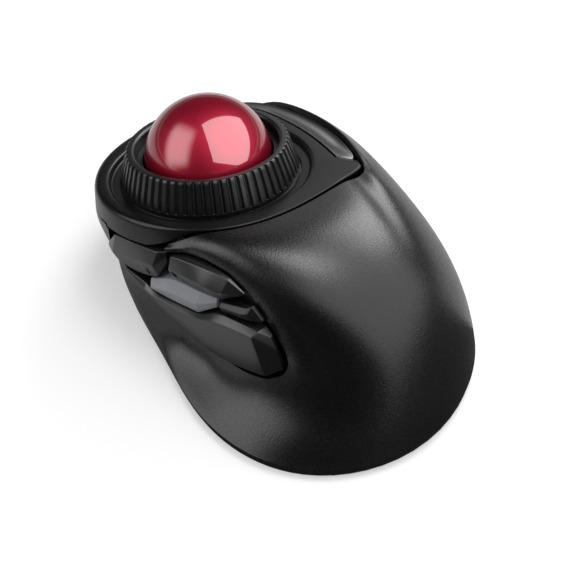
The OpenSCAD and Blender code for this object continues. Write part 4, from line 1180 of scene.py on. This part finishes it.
ARROWS = (ArrowMark("forward_arrow", Body.FORWARD, (16.4, 7.6, 2.62), 0.31, 90.0),
          ArrowMark("back_arrow", Body.BACK, (29.5, 12.6, 2.08), 0.5, -90.0))


def dress_nodes() -> None:
    """Gives every construction node that still shows its own finish."""
    for finish, names in NODE_FINISHES.items():
        for name in names:
            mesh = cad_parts[name].data
            mesh.materials.clear()
            mesh.materials.append(finish.material())
            LOG.info("%s: %s", name, finish.name)


# Studio


def facing(place: Sequence[float], target: Sequence[float]) -> Matrix:
    """Turns a lamp so that its back axis points away from a target and its side axis is level.

    Args:
        place: Where the lamp is, in metres.
        target: What it looks at.

    Returns:
        The lamp's matrix.
    """
    back = np.array(place) - np.array(target)
    back = back / np.linalg.norm(back)
    side = np.cross((0, 0, 1), back)
    side = side / np.linalg.norm(side)
    matrix = np.eye(4)
    matrix[:3, :3], matrix[:3, 3] = np.stack([side, np.cross(back, side), back], 1), place
    return Matrix(matrix.tolist())


class Reach(Enum):
    """Which pieces a light falls on: all, only the one that it names, or the rest without that one."""

    ALL = "all"
    ONLY = "INCLUDE"
    REST = "EXCLUDE"


def link_light(light: bpy.types.Object, reach: Reach, name: str) -> None:
    """Lets a light fall on one piece alone, or on all but that piece, as gobos do in a studio.

    Args:
        light: The lamp.
        reach: Which pieces it falls on.
        name: The one piece.
    """
    if reach is Reach.ALL:
        return
    group = bpy.data.collections.new(light.name + "_linked")
    group.objects.link(bpy.data.objects[name])
    light.light_linking.receiver_collection = group
    group.collection_objects[0].light_linking.link_state = reach.value


@dataclass(frozen=True)
class Softbox:
    """A flat soft light over the deck, in metres. With a fade it is a silk that dims to its edges.

    Attributes:
        name: The lamp's name.
        place: Its middle.
        size: Its width and height.
        radiance: How bright its face is.
        fade: Share of each half of its face that dims towards the edge.
        reach: Which pieces it falls on.
        mirrored: Whether it shows in reflections.
        piece: The piece that reach is about.
        turn: Degrees that it is turned about its own axis.
        target: The point that it looks at.
    """

    name: str
    place: tuple[float, float, float]
    size: tuple[float, float]
    radiance: float
    fade: float = 0.0
    reach: Reach = Reach.ALL
    mirrored: bool = True
    piece: str = BALL_PIECE
    turn: float = 0.0
    target: tuple[float, float, float] = (0.0, 0.0, 0.04)

    def build(self) -> None:
        """Adds the lamp; its power is radiance times pi times its area."""
        lamp = bpy.data.lights.new(self.name, "AREA")
        lamp.shape = "RECTANGLE"
        lamp.size, lamp.size_y = self.size
        lamp.energy = self.radiance * math.pi * self.size[0] * self.size[1]
        holder = bpy.data.objects.new(self.name, lamp)
        bpy.context.scene.collection.objects.link(holder)
        turn = Matrix.Rotation(math.radians(self.turn), 4, "Z")
        holder.matrix_world = facing(self.place, self.target) @ turn
        holder.visible_camera = False
        holder.visible_glossy = self.mirrored
        link_light(holder, self.reach, self.piece)
        if self.fade > 0:
            self.dim_edges(lamp)

    def dim_edges(self, lamp: bpy.types.Light) -> None:
        """Dims the lamp by the product of a smooth fall near each pair of edges.

        Args:
            lamp: The area lamp; its face runs from 0 to 1 both ways.
        """
        lamp.use_nodes = True
        tree = lamp.node_tree
        tree.nodes.clear()
        face = add_node(tree, "ShaderNodeNewGeometry").outputs["Parametric"]
        split = add_node(tree, "ShaderNodeSeparateXYZ", {0: face})
        falls = []
        for axis in ("X", "Y"):
            side = add_node(tree, "ShaderNodeMath", {0: split.outputs[axis], 1: 0.5}, operation="SUBTRACT")
            away = add_node(tree, "ShaderNodeMath", {0: side.outputs[0]}, operation="ABSOLUTE")
            fall = add_node(tree, "ShaderNodeMapRange", {
                "Value": away.outputs[0], "From Min": 0.5 * (1 - self.fade), "From Max": 0.5,
                "To Min": 1.0, "To Max": 0.0}, interpolation_type="SMOOTHSTEP")
            falls.append(fall.outputs["Result"])
        glow = add_node(tree, "ShaderNodeMath", {0: falls[0], 1: falls[1]}, operation="MULTIPLY")
        light = add_node(tree, "ShaderNodeEmission", {"Color": WHITE, "Strength": glow.outputs[0]})
        add_node(tree, "ShaderNodeOutputLight", {"Surface": light.outputs[0]})


def lay_sheet(name: str, west: float, east: float, south: float, north: float, z: float) -> bpy.types.Object:
    """Lays a level sheet of one face.

    Args:
        name: The sheet's name.
        west: Its least x in metres.
        east: Its greatest x.
        south: Its least y.
        north: Its greatest y.
        z: Its height.

    Returns:
        The sheet.
    """
    corners = [(west, south, z), (east, south, z), (east, north, z), (west, north, z)]
    mesh = bpy.data.meshes.new(name)
    mesh.from_pydata(corners, [], [(0, 1, 2, 3)])
    sheet = bpy.data.objects.new(name, mesh)
    bpy.context.scene.collection.objects.link(sheet)
    return sheet


@dataclass(frozen=True)
class Flag:
    """A black cloth on the floor behind the palm, in metres, whose reflection keeps the rear flank dark."""

    name: str = "flag"
    start: float = -0.035
    half: float = 3.0
    level: float = 0.0004

    def build(self) -> None:
        """Lays the cloth from its start line to behind the camera, so that only reflections show it."""
        cloth = lay_sheet(self.name, -self.half, self.half, -self.half, self.start, self.level)
        cloth.visible_camera = cloth.visible_diffuse = False
        cloth.visible_shadow = cloth.visible_transmission = False
        cloth.data.materials.append(CHIP.material())


@dataclass(frozen=True)
class Studio:
    """Camera at the photograph's angle, white floor, soft boxes and a dim room."""

    azimuth: float = -26.0
    elevation: float = 45.0
    eye: tuple[float, float, float] = (-0.18949, -0.38775, 0.4420)
    lens: float = 121.64
    sensor: float = 36.0
    near_clip: float = 0.01
    floor_half: float = 4.0
    fibre_mm: float = 1.5
    fibre_strength: float = 0.2
    fibre_depth_mm: float = 0.05
    paper_tone: float = 0.62
    paper_fade: tuple[float, float] = (0.3, 1.0)
    paper_lift: float = 0.42
    lift_fade: tuple[float, float] = (0.2, 0.75)
    room: float = 0.02
    horizon: float = 0.5
    horizon_rise: float = 0.06
    rig: tuple = (
        Softbox("right_box", (0.265, -0.215, 0.48), (1.03, 0.92), 1.45, 0.0, Reach.REST),
        Softbox("ball_window", (0.265, -0.215, 0.48), (1.03, 0.92), 4.2, 0.0, Reach.ONLY, turn=38.0),
        Softbox("front_silk", (0.62, 0.40, 0.50), (0.60, 0.55), 6.0, 0.5, Reach.REST),
        Softbox("far_silk", (0.38, 0.70, 0.32), (0.45, 0.40), 0.8, 0.6, Reach.REST),
        Softbox("top_silk", (0.12, 0.06, 0.80), (0.45, 0.45), 5.2, 0.6, Reach.REST),
        Softbox("left_silk", (-0.60, 0.24, 0.52), (0.95, 0.85), 2.2, 0.6, Reach.REST),
        Softbox("ball_silk", (-0.55, 0.12, 0.42), (0.80, 1.10), 3.0, 0.6, Reach.ONLY, turn=40.0),
        Softbox("strip_silk", (0.54, 0.68, 0.30), (0.50, 0.36), 4.5, 0.6, Reach.ONLY, piece=STRIP_PIECE),
        Softbox("ball_glow", (-0.10, 0.15, 0.75), (0.50, 0.50), 1.4, 0.5, Reach.ONLY, False),
        Flag(),
    )

    def build(self) -> None:
        """Sets up the view, the camera, the floor, the lamps and the world."""
        scene = bpy.context.scene
        scene.view_settings.view_transform = "Standard"
        self.camera(scene)
        self.floor()
        for stand in self.rig:
            stand.build()
        self.world(scene)

    def camera(self, scene: bpy.types.Scene) -> None:
        """Adds the camera, whose axes are side, up and back at the given angles.

        Args:
            scene: The scene that it is for.
        """
        a, e = math.radians(self.azimuth), math.radians(self.elevation)
        side = (math.cos(a), math.sin(a), 0)
        up = (-math.sin(a) * math.sin(e), math.cos(a) * math.sin(e), math.cos(e))
        back = (math.sin(a) * math.cos(e), -math.cos(a) * math.cos(e), math.sin(e))
        data = bpy.data.cameras.new("camera")
        data.lens, data.sensor_width, data.clip_start = self.lens, self.sensor, self.near_clip
        holder = bpy.data.objects.new("camera", data)
        scene.collection.objects.link(holder)
        matrix = np.eye(4)
        matrix[:3, :3], matrix[:3, 3] = np.stack([side, up, back], 1), self.eye
        holder.matrix_world = Matrix(matrix.tolist())
        scene.camera = holder

    def floor(self) -> None:
        """Lays a white paper floor: it keeps the shadow, and a glow lifts it to white for the camera.

        The paper's tone falls and the glow rises with the distance from the middle. The glow is for camera
        rays and rays through clear pieces alone, so it lights nothing.
        """
        half = self.floor_half
        floor = lay_sheet("floor", -half, half, -half, half, 0.0)
        mat = bpy.data.materials.new("floor_paper_white")
        mat.use_nodes = True
        tree = mat.node_tree
        tree.nodes.clear()
        where = add_node(tree, "ShaderNodeTexCoord").outputs["Object"]
        fibre = add_node(tree, "ShaderNodeTexNoise", {
            "Vector": where, "Scale": per_metre(self.fibre_mm), "Detail": 2.0})
        bump = add_node(tree, "ShaderNodeBump", {
            "Height": fibre.outputs["Fac"], "Strength": self.fibre_strength,
            "Distance": self.fibre_depth_mm * MM})
        away = add_node(tree, "ShaderNodeVectorMath", {0: where}, operation="LENGTH").outputs["Value"]
        tone = add_node(tree, "ShaderNodeMapRange", {
            "Value": away, "From Min": self.paper_fade[0], "From Max": self.paper_fade[1],
            "To Min": self.paper_tone, "To Max": 0.0}, interpolation_type="SMOOTHSTEP")
        glow = add_node(tree, "ShaderNodeMapRange", {
            "Value": away, "From Min": self.lift_fade[0], "From Max": self.lift_fade[1],
            "To Min": self.paper_lift, "To Max": 1.0}, interpolation_type="SMOOTHSTEP")
        grey = add_node(tree, "ShaderNodeCombineColor", {k: tone.outputs["Result"] for k in range(3)})
        paper = add_node(tree, "ShaderNodeBsdfDiffuse", {
            "Color": grey.outputs[0], "Normal": bump.outputs["Normal"]})
        lift = add_node(tree, "ShaderNodeEmission", {"Color": WHITE, "Strength": glow.outputs["Result"]})
        black = add_node(tree, "ShaderNodeEmission", {"Strength": 0.0})
        lifted = add_node(tree, "ShaderNodeMixShader", {
            0: self.straight_rays(tree), 1: black.outputs[0], 2: lift.outputs[0]})
        both = add_node(tree, "ShaderNodeAddShader", {0: paper.outputs[0], 1: lifted.outputs[0]})
        add_node(tree, "ShaderNodeOutputMaterial", {"Surface": both.outputs[0]})
        floor.data.materials.append(mat)

    @staticmethod
    def straight_rays(tree: bpy.types.NodeTree) -> Socket:
        """Tells the camera's own rays from those that light or mirror.

        Args:
            tree: The node tree of the floor or the world.

        Returns:
            A socket that is 1 for camera rays and rays through clear pieces.
        """
        rays = add_node(tree, "ShaderNodeLightPath")
        straight = add_node(tree, "ShaderNodeMath", {
            0: rays.outputs["Is Camera Ray"], 1: rays.outputs["Is Transmission Ray"]}, operation="MAXIMUM")
        return straight.outputs[0]

    def world(self, scene: bpy.types.Scene) -> None:
        """White behind the object for the camera, a pale horizon for mirrors and a dim room for light.

        Args:
            scene: The scene that it surrounds.
        """
        world = bpy.data.worlds.new("studio")
        scene.world = world
        world.use_nodes = True
        tree = world.node_tree
        tree.nodes.clear()
        way = add_node(tree, "ShaderNodeTexCoord").outputs["Generated"]
        up = add_node(tree, "ShaderNodeSeparateXYZ", {0: way}).outputs["Z"]
        horizon = add_node(tree, "ShaderNodeMapRange", {
            "Value": up, "From Min": 0.0, "From Max": self.horizon_rise,
            "To Min": self.horizon, "To Max": 0.0})
        rays = add_node(tree, "ShaderNodeLightPath")
        mirror = add_node(tree, "ShaderNodeMath", {
            0: rays.outputs["Is Glossy Ray"], 1: horizon.outputs[0]}, operation="MULTIPLY")
        white = add_node(tree, "ShaderNodeMath", {
            0: self.straight_rays(tree), 1: mirror.outputs[0]}, operation="MAXIMUM")
        strength = add_node(tree, "ShaderNodeMapRange", {
            "Value": white.outputs[0], "To Min": self.room, "To Max": 1.0})
        light = add_node(tree, "ShaderNodeBackground", {"Color": WHITE, "Strength": strength.outputs[0]})
        add_node(tree, "ShaderNodeOutputWorld", {"Surface": light.outputs[0]})


def main() -> None:
    """Builds the sub-assemblies in order, dresses the rest and sets up the studio."""
    logging.basicConfig(level=logging.INFO, format="%(name)s: %(message)s")
    for assembly in (PalmShell(), Bezel(), RightButton(), ScrollRing(), FingerBall(), *THUMB_KEYS, *ARROWS):
        assembly.build()
    dress_nodes()
    Studio().build()


if __name__ == "__main__":
    main()
